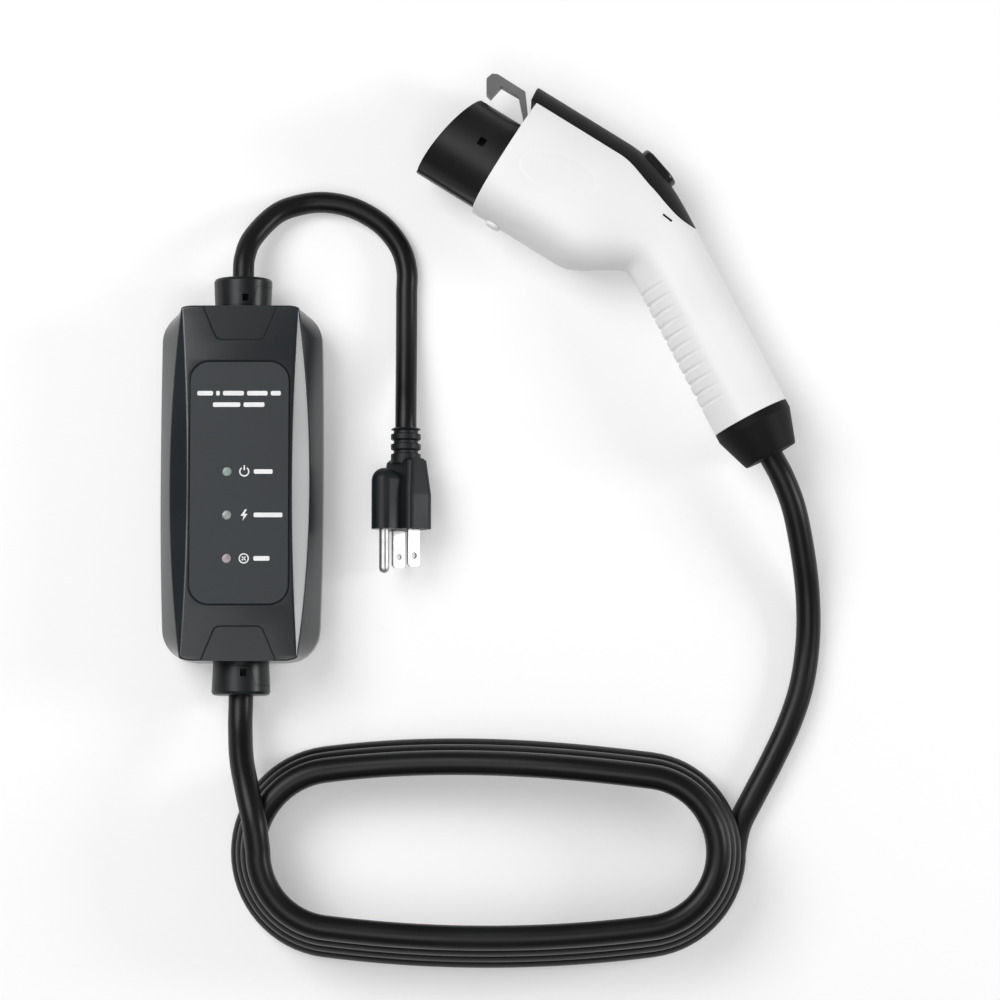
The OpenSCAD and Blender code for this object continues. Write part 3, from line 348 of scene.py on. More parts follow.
def mix(a, b, t):
    return a + (b - a) * t


def smooth(t):
    t = min(max(t, 0.0), 1.0)
    return t * t * (3 - 2 * t)


def bezier(p, t):
    return (1 - t) ** 3 * p[0] + 3 * (1 - t) ** 2 * t * p[1] + 3 * (1 - t) * t * t * p[2] + t ** 3 * p[3]


def round_points(x, y, radius, degrees):
    a = np.radians(degrees)
    return np.column_stack([x + radius * np.cos(a), y + radius * np.sin(a)])


def circle(x, y, radius, steps=28):
    return round_points(x, y, radius, np.linspace(0, 360, steps, endpoint=False))


def arc_points(x, y, radius, start, end, steps=24):
    return round_points(x, y, radius, np.linspace(start, end, steps))


def stadium(length, width):
    right = arc_points((length - width) / 2, 0, width / 2, -90, 90)
    return np.vstack([right, -right])


def rectangle(width, height):
    return np.array([(-1, -1), (1, -1), (1, 1), (-1, 1)]) * np.array([width, height]) / 2


def rounded_rectangle(width, height, radius, steps=10):
    x, y = width / 2 - radius, height / 2 - radius
    corners = ((x, y, 0), (-x, y, 90), (-x, -y, 180), (x, -y, 270))
    return np.vstack([arc_points(cx, cy, radius, start, start + 90, steps) for cx, cy, start in corners])


def turned(flat, degrees):
    a = math.radians(degrees)
    return flat @ np.array([(math.cos(a), math.sin(a)), (-math.sin(a), math.cos(a))])


# Camera

TARGET = Vector((0.01035, -0.0525, 0.0))
ELEVATION = math.radians(85)
DISTANCE = 1.75
SENSOR_W = 36
FOCAL_LENGTH = 134.0
camera_data = bpy.data.cameras.new("camera")
camera_data.sensor_width = SENSOR_W
camera_data.lens = FOCAL_LENGTH
camera = add_object("camera", camera_data)
back = Vector((0, -math.cos(ELEVATION), math.sin(ELEVATION)))
camera.location = TARGET + back * DISTANCE
camera.rotation_mode = "QUATERNION"
camera.rotation_quaternion = (-back).to_track_quat("-Z", "Y")
scene.camera = camera


# Cords, with the route's points as in the part's source

LEAD_D = 10.0
# The vehicle cable is drawn 0.1 mm slim, so that its stacked turns stay apart
CABLE_DRAWN_D = 11.4
CORD_ROUNDNESS = 8
LEAD_ROUTE = [
    (-109.5, 36, 20), (-109.5, 51, 20), (-109, 60, 18.5), (-105.5, 70, 14),
    (-95, 82, 8.5), (-83, 87, 5.6), (-71, 88, 5), (-58, 85, 5), (-45.5, 77.5, 5), (-37, 67, 5),
    (-33.6, 56, 5), (-33.6, 44, 5), (-33.6, 25, 6), (-33.6, 4, 10), (-33.6, -8, 13),
    (-33.6, -18, 14.5), (-33.6, -28.6, 14.5),
]
BOX_END_ROUTE = [
    (-109.5, -132, 20), (-109.5, -147, 20.3), (-109.5, -160, 23),
    (-108.3, -175, 29.7), (-105, -190, 36.4), (-101.7, -204, 39.8), (-100, -217, 39.05),
]
HANDLE_END_ROUTE = [
    (119, -217, 5.75), (121.5, -205, 5.75), (128, -192, 5.75), (136.5, -176, 5.75),
    (145, -158, 5.75), (151, -140, 5.75), (154, -120, 6.3), (154, -100, 9.5), (151.5, -80, 15.5),
    (147, -59, 21.5), (141.5, -44.5, 24.2), (136, -34, 24.6), (126.8, -16.2, 24.6), (117.6, 1.5, 24.6),
]
COIL_CENTRE = (5, -217)
COIL_HALF_RUN = 70.5
COIL_R = 43.5
COIL_BOW = 4.5
COIL_MID = COIL_R + COIL_BOW
COIL_SIDE_R = (COIL_HALF_RUN ** 2 + COIL_MID ** 2 - COIL_R ** 2) / (2 * (COIL_MID - COIL_R))
COIL_SIDE = math.degrees(math.asin(COIL_HALF_RUN / (COIL_SIDE_R - COIL_R)))
COIL_SHIFTS = (-9, -6, -3, 0)
COIL_HEIGHTS = (39.05, 27.95, 16.85, 5.75)
COIL_BEND_STEPS, COIL_SIDE_STEPS, COIL_EASE_STEPS = 17, 22, 30


def catmull(points, steps=8):
    """Smooth line through points, with a number of steps from each to the next."""
    points = np.asarray(points, float)
    last = len(points) - 1
    line = []
    for i in range(last):
        a, b, c, d = points[max(i - 1, 0)], points[i], points[i + 1], points[min(i + 2, last)]
        for t in np.arange(steps) / steps:
            square = (2 * a - 5 * b + 4 * c - d) * t ** 2
            cube = (3 * b - a - 3 * c + d) * t ** 3
            line.append(0.5 * (2 * b + (c - a) * t + square + cube))
    return np.vstack([line, points[last]])


def coil_line():
    """Turns of an oval, from the highest to the lowest, each eased down along the far side."""
    line = []

    def put(x, y, radius, angle, height):
        a = math.radians(angle)
        place = (COIL_CENTRE[0] + x + radius * math.cos(a), COIL_CENTRE[1] + y + radius * math.sin(a))
        line.append((*place, height))

    def bend(x, shift, height, start, end):
        for angle in np.linspace(start, end, COIL_BEND_STEPS)[:-1]:
            put(x, 0, COIL_R + shift, angle, height)

    for k, (shift, height) in enumerate(zip(COIL_SHIFTS, COIL_HEIGHTS)):
        bend(-COIL_HALF_RUN, shift, height, 180, 270 - COIL_SIDE)
        for angle in np.linspace(270 - COIL_SIDE, 270 + COIL_SIDE, COIL_SIDE_STEPS)[:-1]:
            put(0, COIL_SIDE_R - COIL_MID, COIL_SIDE_R + shift, angle, height)
        bend(COIL_HALF_RUN, shift, height, 270 + COIL_SIDE, 360)
        if k == len(COIL_SHIFTS) - 1:
            break
        bend(COIL_HALF_RUN, shift, height, 0, 90 - COIL_SIDE)
        for share in np.linspace(0, 1, COIL_EASE_STEPS)[:-1]:
            ease = smooth(share)
            put(
                0, COIL_MID - COIL_SIDE_R, COIL_SIDE_R + mix(shift, COIL_SHIFTS[k + 1], ease),
                mix(90 - COIL_SIDE, 90 + COIL_SIDE, share), mix(height, COIL_HEIGHTS[k + 1], ease),
            )
        bend(-COIL_HALF_RUN, COIL_SHIFTS[k + 1], COIL_HEIGHTS[k + 1], 90 + COIL_SIDE, 180)
    return np.array(line)


def add_cord(name, line, diameter):
    curve = bpy.data.curves.new(name, "CURVE")
    curve.dimensions = "3D"
    curve.bevel_depth = diameter / 2 * MM
    curve.bevel_resolution = CORD_ROUNDNESS
    curve.use_fill_caps = True
    spline = curve.splines.new("POLY")
    spline.points.add(len(line) - 1)
    spline.points.foreach_set("co", np.column_stack([line * MM, np.ones(len(line))]).ravel())
    spline.use_smooth = True
    curve.materials.append(SURFACES["cable_rubber"])
    return add_piece(name, curve, "root")


lead_line = catmull(LEAD_ROUTE)
lead = add_cord("mains_cord", lead_line, LEAD_D)
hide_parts("mains_lead")
vehicle_line = np.vstack([catmull(BOX_END_ROUTE)[:-1], coil_line(), catmull(HANDLE_END_ROUTE)])
vehicle = add_cord("vehicle_cord", vehicle_line, CABLE_DRAWN_D)
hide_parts("cable_box_end", "cable_coil", "cable_handle_end")


# Connector housing, in the frame of the nose: u rearward, v toward the latch, w to the side

TURN = math.radians(-32)
NOSE = np.array([9.8, 101.75, 24.6])
SHELL_WALL = 2.5
HALF_W = 24.6
BODY_LOW, BODY_TOP = -24.6, 41.0
PARTING_V = 32.2
BODY_RUN = 46.0
GRIP_R = 18.35
GRIP_L = 76.6
GRIP_ANGLE = math.radians(30.5)
GRIP_DIR = np.array([math.cos(GRIP_ANGLE), -math.sin(GRIP_ANGLE)])
GRIP_UP = np.array([math.sin(GRIP_ANGLE), math.cos(GRIP_ANGLE)])
GRIP_LOW = np.array([BODY_RUN + 40.4, -15.0])
GRIP_TOP = GRIP_LOW + 2 * GRIP_R * GRIP_UP
WAIST = np.array([BODY_RUN + 20, -15.9])
WAIST_DIR = np.array([0.847, 0.531])
BODY_END_TOP = np.array([BODY_RUN, BODY_TOP])
BODY_END_LOW = np.array([BODY_RUN, BODY_LOW])
REARWARD = np.array([1.0, 0.0])
# Handle lengths of the curves along the top and the underside of the bend
TOP_PULL = 22
BODY_PULL, WAIST_PULL_IN, WAIST_PULL_OUT, GRIP_PULL = 9, 7, 13, 12
TOP_CURVE = [BODY_END_TOP, BODY_END_TOP + TOP_PULL * REARWARD, GRIP_TOP - TOP_PULL * GRIP_DIR, GRIP_TOP]
LOW_CURVE_A = [BODY_END_LOW, BODY_END_LOW + BODY_PULL * REARWARD, WAIST - WAIST_PULL_IN * WAIST_DIR, WAIST]
LOW_CURVE_B = [WAIST, WAIST + WAIST_PULL_OUT * WAIST_DIR, GRIP_LOW - GRIP_PULL * GRIP_DIR, GRIP_LOW]
BODY_POWER, GRIP_POWER = 2.4, 2.0
BODY_EGG = 0.33
EGG_NORM = 0.45
PARTING = (PARTING_V - (BODY_TOP + BODY_LOW) / 2) / ((BODY_TOP - BODY_LOW) / 2)
PARTING_DIP, PARTING_DIP_RUN = 0.09, 0.35
PARTING_RISE, PARTING_RISE_FROM = 0.3, 0.5
COVER_END = 0.8

# A section is a superellipse of a power between top and low. Egg narrows it toward its top, and parting
# is the height of the top cover's edge over the middle, as a share of half the section's height
Section = collections.namedtuple("Section", "top low half_w power egg parting")


def from_nose(points):
    points = np.asarray(points, float)
    c, s = math.cos(TURN), math.sin(TURN)
    return np.stack([
        NOSE[0] + c * points[..., 0] - s * points[..., 1],
        NOSE[1] + s * points[..., 0] + c * points[..., 1],
        NOSE[2] + points[..., 2],
    ], axis=-1)


def body_section(u, rake=0.0):
    """Section of the straight body, whose underside may lie further back than its top."""
    top, low = np.array([u, BODY_TOP]), np.array([u + rake, BODY_LOW])
    return Section(top, low, HALF_W, BODY_POWER, BODY_EGG, PARTING)


def parting_share(t):
    """Height of the top cover's lower edge along the bend, as a share of the section."""
    rise = max((t - PARTING_RISE_FROM) / (COVER_END - PARTING_RISE_FROM), 0) ** 3
    return PARTING - PARTING_DIP * smooth(t / PARTING_DIP_RUN) + PARTING_RISE * rise


def turn_section(t, parting):
    """Section of the bend between the body and the grip."""
    low = bezier(LOW_CURVE_A, 2 * t) if t <= 0.5 else bezier(LOW_CURVE_B, 2 * t - 1)
    half_w = mix(HALF_W, GRIP_R, smooth(t))
    return Section(
        bezier(TOP_CURVE, t), low, half_w, mix(BODY_POWER, GRIP_POWER, t), mix(BODY_EGG, 0, t), parting,
    )


def grip_section(d):
    return Section(GRIP_TOP + d * GRIP_DIR, GRIP_LOW + d * GRIP_DIR, GRIP_R, GRIP_POWER, 0.0, 1.0)


def section_points(section, inset, angles):
    """Points of a section, drawn in by an inset, from its top at angle 0 to its underside."""
    reach = np.linalg.norm(section.top - section.low)
    c, s = np.cos(angles), np.abs(np.sin(angles))
    along = (reach / 2 - inset) * np.sign(c) * np.abs(c) ** (2 / section.power)
    narrowing = (1 - section.egg * (1 + c) / 2) / (1 - EGG_NORM * section.egg)
    across = (section.half_w - inset) * s ** (2 / section.power) * narrowing
    middle = (section.top + section.low) / 2
    up = (section.top - section.low) / reach
    return np.column_stack([middle[0] + along * up[0], middle[1] + along * up[1], across])


def parting_angle(section, inset):
    half = np.linalg.norm(section.top - section.low) / 2
    return math.acos(min(section.parting * half / (half - inset), 1) ** (section.power / 2))


# Relief of the shells

GROOVE_COUNT = 11
GROOVE_FIRST = 3.3
GROOVE_PITCH = 5.9
GROOVE_R = 1.1
GROOVE_DEPTH = 0.8
GROOVE_FADE = 1.2
OVAL_AT = (26.7, 7.7)
OVAL_TILT = math.radians(13)
OVAL_HALF = (18.5, 8.8)
OVAL_DEPTH = 0.3
OVAL_LINE = 0.65
NEVER_ZERO = 1e-6


def groove_depth(d, angles):
    """Depth of the finger grooves at a place along the grip, fading up its sides."""
    from_first = d - GROOVE_FIRST
    half = GROOVE_PITCH / 2
    if not -half < from_first < (GROOVE_COUNT - 1) * GROOVE_PITCH + half:
        return np.zeros_like(angles)
    deepest = np.maximum(GROOVE_DEPTH - GROOVE_FADE * (1 + np.cos(angles)), 0)
    aside = min(abs((from_first + half) % GROOVE_PITCH - half), GROOVE_R)
    return np.maximum(deepest - GROOVE_R + math.sqrt(GROOVE_R ** 2 - aside ** 2), 0)


def oval_depth(points):
    """Depth of the shallow oval line on the side of the body."""
    du, dv = points[:, 0] - OVAL_AT[0], points[:, 1] - OVAL_AT[1]
    x = du * math.cos(OVAL_TILT) + dv * math.sin(OVAL_TILT)
    y = dv * math.cos(OVAL_TILT) - du * math.sin(OVAL_TILT)
    a, b = OVAL_HALF
    rho = np.sqrt((x / a) ** 2 + (y / b) ** 2) + NEVER_ZERO
    slope = np.sqrt((x / a ** 2) ** 2 + (y / b ** 2) ** 2) / rho + NEVER_ZERO
    return OVAL_DEPTH * np.exp(-(((rho - 1) / slope) / OVAL_LINE) ** 2)


# Shells

OUTER_STEPS = 84
INNER_STEPS = 17
# Place and inset of the rings that round the front edge off
FRONT_ROLL = ((0.5, 0.5), (0.58, 0.25), (0.75, 0.08), (1.0, 0.0))
BODY_RINGS, TURN_RINGS, END_RINGS, GRIP_RINGS = 72, 81, 21, 214
OVAL_END = 0.2
SLOT_AT = np.array([80.4, 18.3])
SLOT_SIZE = (5.2, 1.1)
SLOT_TURN = -5
# Reach of the cut and of the dark leaf in it that paints the shade inside the slot, out from the middle of
# the housing
SLOT_CUT = (14, 34)
SLOT_SHADE_LEAF = (14.6, 16.6)
LUG_U = 12.5
LUG_STEPS = 36
# Radius and height of the lug's rings, from its foot up into the body
LUG_PROFILE = ((0.01, -1.8), (2.2, -1.8), (3.1, -1.55), (3.55, -1.1), (3.7, -0.5), (3.7, 1.5))


def shell_ring(section, relief=None, inset=0.0):
    """Loop round the wall of one shell, out along its surface and back along its inside."""
    angles = np.linspace(parting_angle(section, inset), math.pi, OUTER_STEPS)
    sunk = np.full(OUTER_STEPS, inset)
    if relief is not None:
        sunk = sunk + relief(angles, section_points(section, inset, angles))
    outer = section_points(section, sunk, angles)
    inner_angles = np.linspace(math.pi, parting_angle(section, SHELL_WALL), INNER_STEPS)
    return np.vstack([outer, section_points(section, SHELL_WALL, inner_angles)])


def shell_lofts(oval):
    """One shell's two lofts, which meet at the end of the top cover."""
    relief = (lambda angles, points: oval_depth(points)) if oval else None
    body = [shell_ring(body_section(u), None, inset) for u, inset in FRONT_ROLL]
    body += [shell_ring(body_section(u), relief) for u in np.linspace(1.0, BODY_RUN, BODY_RINGS)[1:]]
    for t in np.linspace(0, COVER_END, TURN_RINGS)[1:]:
        body.append(shell_ring(turn_section(t, parting_share(t)), relief if t < OVAL_END else None))
    grip = [shell_ring(turn_section(t, 1.0)) for t in np.linspace(COVER_END, 1, END_RINGS)]
    for d in np.linspace(0, GRIP_L, GRIP_RINGS)[1:]:
        grip.append(shell_ring(grip_section(d), lambda angles, points: groove_depth(d, angles)))
    return [np.array(body), np.array(grip)]


def side_slot(side, low, high):
    """Solid of the small slot near the end of the top cover."""
    points, faces = prism(turned(rectangle(*SLOT_SIZE), SLOT_TURN) + SLOT_AT, low, high)
    points[:, 2] *= side
    return from_nose(points), faces


for side, side_name in ((1, "left"), (-1, "right")):
    body_rings, grip_rings = [rings * np.array([1, 1, side]) for rings in shell_lofts(side > 0)]
    shell_name = "connector_shell_" + side_name
    shell = add_loft(shell_name + "_fine", from_nose(body_rings), "white_plastic", angle=SHELL_SHARP)
    cut(shell, [side_slot(side, *SLOT_CUT)], SHELL_SHARP)
    extend(shell, from_nose(grip_rings), SHELL_SHARP)
    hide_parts(shell_name)
    # A dark leaf a little below the shell's surface closes the slot: painted shade, so that the slot reads
    # black
    add_mesh("slot_shade_leaf_" + side_name, *side_slot(side, *SLOT_SHADE_LEAF), "cover_plastic")


def add_lug():
    """Rounded boss under the front of the body."""
    rings = []
    for radius, drop in LUG_PROFILE:
        flat = circle(LUG_U, 0, radius, LUG_STEPS)
        rings.append(np.column_stack([flat[:, 0], np.full(LUG_STEPS, BODY_LOW + drop), flat[:, 1]]))
    add_loft("body_lug", from_nose(rings), "white_plastic", angle=SHELL_SHARP)


add_lug()


# Top cover and button

COVER_PROUD = 0.06
COVER_STEPS = 61
COVER_FRONT_U = -4.0
COVER_SETBACK = 1.6
COVER_RAKE = COVER_SETBACK / (BODY_TOP - PARTING_V) * (BODY_TOP - BODY_LOW)
COVER_STRAIGHT_U = 12
# Shift and inset of the rings that round the cover's front edge off
COVER_ROLL = ((0.0, 0.9), (0.15, 0.4), (0.45, 0.12), (0.9, 0.0))
RAKED_RINGS, STRAIGHT_RINGS = 8, 10
BUTTON_SHARE = 0.28
BUTTON_SINK = 0.2
BUTTON_AT = bezier(TOP_CURVE, BUTTON_SHARE) - np.array([0, BUTTON_SINK])
BUTTON_SLOPE = math.radians(-17.5)
BUTTON_L, BUTTON_W = 21, 13
BUTTON_GAP = 0.35
BUTTON_CUT = (-20, 12)
FLANGE_TOP, FLANGE_LOW = 2.35, 3.55
# Height inward and inset of the pad's rolled edge and shallow dish, and of the flange under it
PAD_PROFILE = (
    (FLANGE_TOP, 0.0), (-1.2, 0.0), (-1.75, 0.12), (-2.15, 0.4), (-2.45, 0.85), (-2.6, 1.5), (-2.5, 2.2),
    (-2.3, 3.2), (-2.15, 4.4), (-2.1, 5.6),
)
FLANGE_PROFILE = ((FLANGE_LOW, -1.2), (FLANGE_TOP, -1.2))
STEM_R = 3
STEM_END = 6.4
BUTTON_SHARP = 50


def from_button(points):
    """From the button's frame, whose x runs rearward down the slope and z inward."""
    c, s = math.cos(BUTTON_SLOPE), math.sin(BUTTON_SLOPE)
    x, w, outward = points[:, 0], points[:, 1], -points[:, 2]
    return from_nose(np.column_stack([
        BUTTON_AT[0] + c * x - s * outward, BUTTON_AT[1] + s * x + c * outward, w,
    ]))


def cover_ring(section, inset=0.0):
    inset = inset - COVER_PROUD
    a = parting_angle(section, inset)
    angles = np.linspace(-a, a, COVER_STEPS)
    points = section_points(section, inset, angles)
    points[:, 2] *= np.sign(angles)
    return points


def add_top_cover():
    rings = []
    for shift, inset in COVER_ROLL:
        rings.append(cover_ring(body_section(COVER_FRONT_U + shift, COVER_RAKE), inset))
    first, straight = rings[-1], cover_ring(body_section(COVER_STRAIGHT_U))
    rings += [mix(first, straight, share) for share in np.linspace(0, 1, RAKED_RINGS)[1:]]
    for u in np.linspace(COVER_STRAIGHT_U, BODY_RUN, STRAIGHT_RINGS)[1:]:
        rings.append(cover_ring(body_section(u)))
    for t in np.linspace(0, COVER_END, TURN_RINGS)[1:]:
        rings.append(cover_ring(turn_section(t, parting_share(t))))
    cover = add_loft("top_cover_fine", from_nose(rings), "cover_plastic", angle=SHELL_SHARP)
    points, faces = prism(stadium(BUTTON_L + 2 * BUTTON_GAP, BUTTON_W + 2 * BUTTON_GAP), *BUTTON_CUT)
    cut(cover, [(from_button(points), faces)], SHELL_SHARP)
    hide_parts("top_cover")


def add_button():
    """Thumb pad with a rolled edge and a shallow dish, its flange and its stem."""
    parts = []
    for profile in (PAD_PROFILE, FLANGE_PROFILE):
        layers = [(stadium(BUTTON_L - 2 * inset, BUTTON_W - 2 * inset), z) for z, inset in profile]
        parts.append(stack(layers))
    parts.append(prism(circle(0, 0, STEM_R), FLANGE_LOW, STEM_END))
    points, faces = merge(parts)
    pad = add_mesh(
        "thumb_pad", from_button(points), faces, "button_plastic", body="release_button", angle=BUTTON_SHARP,
    )
    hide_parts("release_button")


add_top_cover()
add_button()


# Latch spring, between its seat on the bracket and the tail of the lever

SPRING_U = 50.0
SPRING_LOW, SPRING_HIGH = 14.75, 26.45
SPRING_R = 3.0
SPRING_WIRE = 0.7
SPRING_TURNS = 5
SPRING_STEPS = 24
SPRING_SIDES = 10
SPRING_SHARP = 60


def add_spring():
    """Coil of round wire between its seat and the tail of the lever."""
    upward = np.array([0.0, 1.0, 0.0])
    rings = []
    for turn in np.linspace(0, SPRING_TURNS, SPRING_STEPS * SPRING_TURNS + 1):
        a = 2 * math.pi * turn
        outward = np.array([math.cos(a), 0.0, math.sin(a)])
        height = mix(SPRING_LOW, SPRING_HIGH, turn / SPRING_TURNS)
        middle = np.array([SPRING_U, height, 0.0]) + SPRING_R * outward
        wire = circle(0, 0, SPRING_WIRE, SPRING_SIDES)
        rings.append([middle + x * outward + y * upward for x, y in wire])
    spring = add_loft("latch_spring_coil", from_nose(rings), "steel", angle=SPRING_SHARP)
    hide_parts("latch_spring")
    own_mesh(spring)


add_spring()


# Control box, in its own frame

BOX = np.array([-109.5, -48.0, 0.0])
BOX_W, BOX_L, BOX_H = 75.5, 164.0, 42.0
BOX_WALL = 2.5
BOX_SHARP = 28
BOX_EDGE = 0.15
CORNER_R = 15.0
COVER_Z = 20.6
SHOULDER = 2.5
BOW_UPPER, BOW_LOWER = 0.7, 1.8
FACE_W, FACE_GROWTH, FACE_END = 47.8, 2.8, 0.8
FACE_MIDDLE = 0.9
CREASE_W, CREASE_TAPER = 64.8, 5.4
CREASE_DROP, CREASE_SINK = 5.5, 0.3
FACE_INSET, CREASE_INSET = 0.5, 0.8
FACE_MARGIN, CREASE_MARGIN = 0.2, 0.1
SHOULDER_FILLET, FACE_FILLET = 1.0, 0.7
FILLET_SHARE = 0.42
FILLET_STEPS = (0, 0.3, 0.5, 0.7, 1)
RECESS_CORNER_STEPS = 9
PANEL_W, PANEL_L, PANEL_R = 45.4, 111.6, 9.0
PANEL_FLARE = 0.9
# Levels of a cutter: its floor, the start of its slope and its rim
PANEL_LEVELS = (BOX_H - 1.2, BOX_H - 0.9, BOX_H + 0.02)
RECESS_FOOT, RECESS_NECK, RECESS_TIP, RECESS_END = 17.8, 10.3, 66.4, 84
RECESS_R = 3.0
RECESS_FLARE = 0.7
RECESS_LEVELS = (BOX_H - 0.7, BOX_H - 0.6, BOX_H + 0.02)
LAMP_X = -5.6
LAMP_Y = (5, -15, -35)
LAMP_HOLE_R = 2.35
LAMP_CUT = (BOX_H - 6, BOX_H + 4)

# Places along the box as shares of its half length, closer together round the corners
SIDE_STEPS, CORNER_STEPS = 22, 17
straight_end = (BOX_L / 2 - CORNER_R) / (BOX_L / 2)
corner = straight_end + CORNER_R / (BOX_L / 2) * np.sin(np.radians(np.linspace(0, 90, CORNER_STEPS)))
half_stations = np.concatenate([np.linspace(0, straight_end, SIDE_STEPS)[:-1], corner])
STATIONS = np.concatenate([-half_stations[:0:-1], half_stations])


def side_x(inset):
    """Half width of the box at each station: slightly bowed sides and round corners."""
    half_l = BOX_L / 2 - inset
    r = max(CORNER_R - inset, 1)
    bow = np.where(STATIONS > 0, BOW_UPPER, BOW_LOWER) * STATIONS * STATIONS
    past = np.maximum(np.abs(STATIONS) * half_l - (half_l - r), 0)
    return BOX_W / 2 - inset - bow - (r - np.sqrt(np.maximum(r * r - past * past, 0)))


def box_ring(half, level, inset):
    y = STATIONS * (BOX_L / 2 - inset)
    right = np.column_stack([half, y, np.broadcast_to(level, STATIONS.shape)])
    return np.vstack([right, (right * np.array([-1, 1, 1]))[::-1]])


def outline_ring(z, inset):
    return box_ring(side_x(inset), z, inset)


def face_half(inset):
    half = FACE_W / 2 + FACE_GROWTH * STATIONS ** 2 - inset * FACE_INSET
    return np.minimum(half, side_x(inset) - FACE_MARGIN)


def crease_half(inset):
    half = CREASE_W / 2 - CREASE_TAPER * STATIONS ** 2 - inset * CREASE_INSET
    return np.minimum(half, side_x(inset) - CREASE_MARGIN)


def crease_z():
    return BOX_H - CREASE_DROP * (1 - STATIONS ** 2) - CREASE_SINK


def filleted(before, at, after, reach):
    """Loops that round an edge loop off between its two neighbours."""
    def toward(other):
        gap = np.linalg.norm(other - at, axis=1, keepdims=True)
        return at + (other - at) * np.minimum(reach / np.maximum(gap, NEVER_ZERO), FILLET_SHARE)

    start, end = toward(before), toward(after)
    return [(1 - t) ** 2 * start + 2 * t * (1 - t) * at + t * t * end for t in FILLET_STEPS]


def recess(end, grow=0.0):
    """Outline of an end recess, with its two inner corners rounded."""
    foot, neck, tip, radius = RECESS_FOOT + grow, RECESS_NECK + grow, RECESS_TIP - grow, RECESS_R + grow
    lean = math.degrees(math.atan2(foot - neck, RECESS_END - tip))
    reach = radius * math.tan(math.radians((90 - lean) / 2))
    inner = arc_points(neck - reach, tip + radius, radius, -lean, -90, RECESS_CORNER_STEPS)
    flat = np.vstack([[(-foot, RECESS_END), (foot, RECESS_END)], inner, inner[::-1] * np.array([-1, 1])])
    return flat * np.array([1, end])


def add_box_cover():
    """Front cover: wall, shoulder, side facets and face, cut for the panel, recesses and lamps."""
    rim, shoulder = outline_ring(COVER_Z, 0), outline_ring(COVER_Z + SHOULDER, 0)
    crease = box_ring(crease_half(0), crease_z(), 0)
    face = box_ring(face_half(0), BOX_H, FACE_END)
    rings = [
        box_ring(face_half(BOX_WALL), BOX_H - BOX_WALL, BOX_WALL),
        box_ring(crease_half(BOX_WALL), crease_z() - BOX_WALL, BOX_WALL),
        outline_ring(COVER_Z, BOX_WALL), rim,
        *filleted(rim, shoulder, crease, SHOULDER_FILLET), *filleted(shoulder, crease, face, FACE_FILLET),
        *filleted(crease, face, face * np.array([FACE_MIDDLE, 1, 1]), FACE_FILLET),
    ]
    points = np.array(rings) + BOX
    count, around = points.shape[:2]
    faces = loft_faces(count, around)[:-2]
    for o, flip in ((0, 1), ((count - 1) * around, -1)):
        for j in range(around // 2 - 1):
            faces.append((o + j, o + j + 1, o + around - 2 - j, o + around - 1 - j)[::flip])
    cover = add_mesh("box_front_cover_fine", points.reshape(-1, 3), faces, "box_plastic", angle=BOX_SHARP)
    panel, panel_wide = [
        rounded_rectangle(PANEL_W + 2 * flare, PANEL_L + 2 * flare, PANEL_R + flare)
        for flare in (0, PANEL_FLARE)
    ]
    cutters = [flared(panel, panel_wide, *PANEL_LEVELS)]
    cutters += [flared(recess(end), recess(end, RECESS_FLARE), *RECESS_LEVELS) for end in (1, -1)]
    cutters += [prism(circle(LAMP_X, y, LAMP_HOLE_R), *LAMP_CUT) for y in LAMP_Y]
    cut(cover, [(p + BOX, f) for p, f in cutters], BOX_SHARP)
    ease_edges(cover, BOX_EDGE)
    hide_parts("box_front_cover")


add_box_cover()


# Marks on the panel: greeked bars in place of words, and plain signs beside the lamps

PRINT_LEVELS = (BOX_H - 0.52, BOX_H - 0.45)
BAR_H = 2.1
BAR_GAP = 1.5
BAR_ROUNDING = 0.3
BAR_CORNER_STEPS = 4
# Height, start and bar widths of each row
HEADING_ROWS = ((41.2, -19.4, (7.2, 1.6, 9.6, 9.4, 4.6)), (35.9, -12.2, (12.6, 9.6)))
SIGN_X = 2.4
SIGN_R = 2.35
POWER_INNER_R, POWER_ARC = 1.75, (125, 415)
POWER_BAR_W, POWER_BAR_H = 0.64, 2.3
BOLT = np.array([(0.5, 2.6), (-1.6, -0.4), (-0.2, -0.4), (-0.6, -2.6), (1.6, 0.5), (0.2, 0.5), (1.3, 2.6)])
RING_INNER_R = 1.8
CROSS_SIZE = (2.4, 0.56)
LAMP_BAR_X = 6.8
LAMP_BARS = (8.6, 13.2, 7.4)


def bar(x0, x1, y, height):
    width = x1 - x0
    flat = rounded_rectangle(width, height, min(width, height) * BAR_ROUNDING, BAR_CORNER_STEPS)
    return prism(flat + np.array([(x0 + x1) / 2, y]), *PRINT_LEVELS)


def band(y, inner_r, start, end):
    """Flat strip of a ring beside a lamp."""
    outer, inner = [arc_points(SIGN_X, y, radius, start, end) for radius in (SIGN_R, inner_r)]
    return prism(np.vstack([outer, inner[::-1]]), *PRINT_LEVELS)


def heading_marks():
    """Rows of bars where a heading would stand."""
    parts = []
    for y, x, widths in HEADING_ROWS:
        for width in widths:
            parts.append(bar(x, x + width, y, BAR_H))
            x += width + BAR_GAP
    return parts


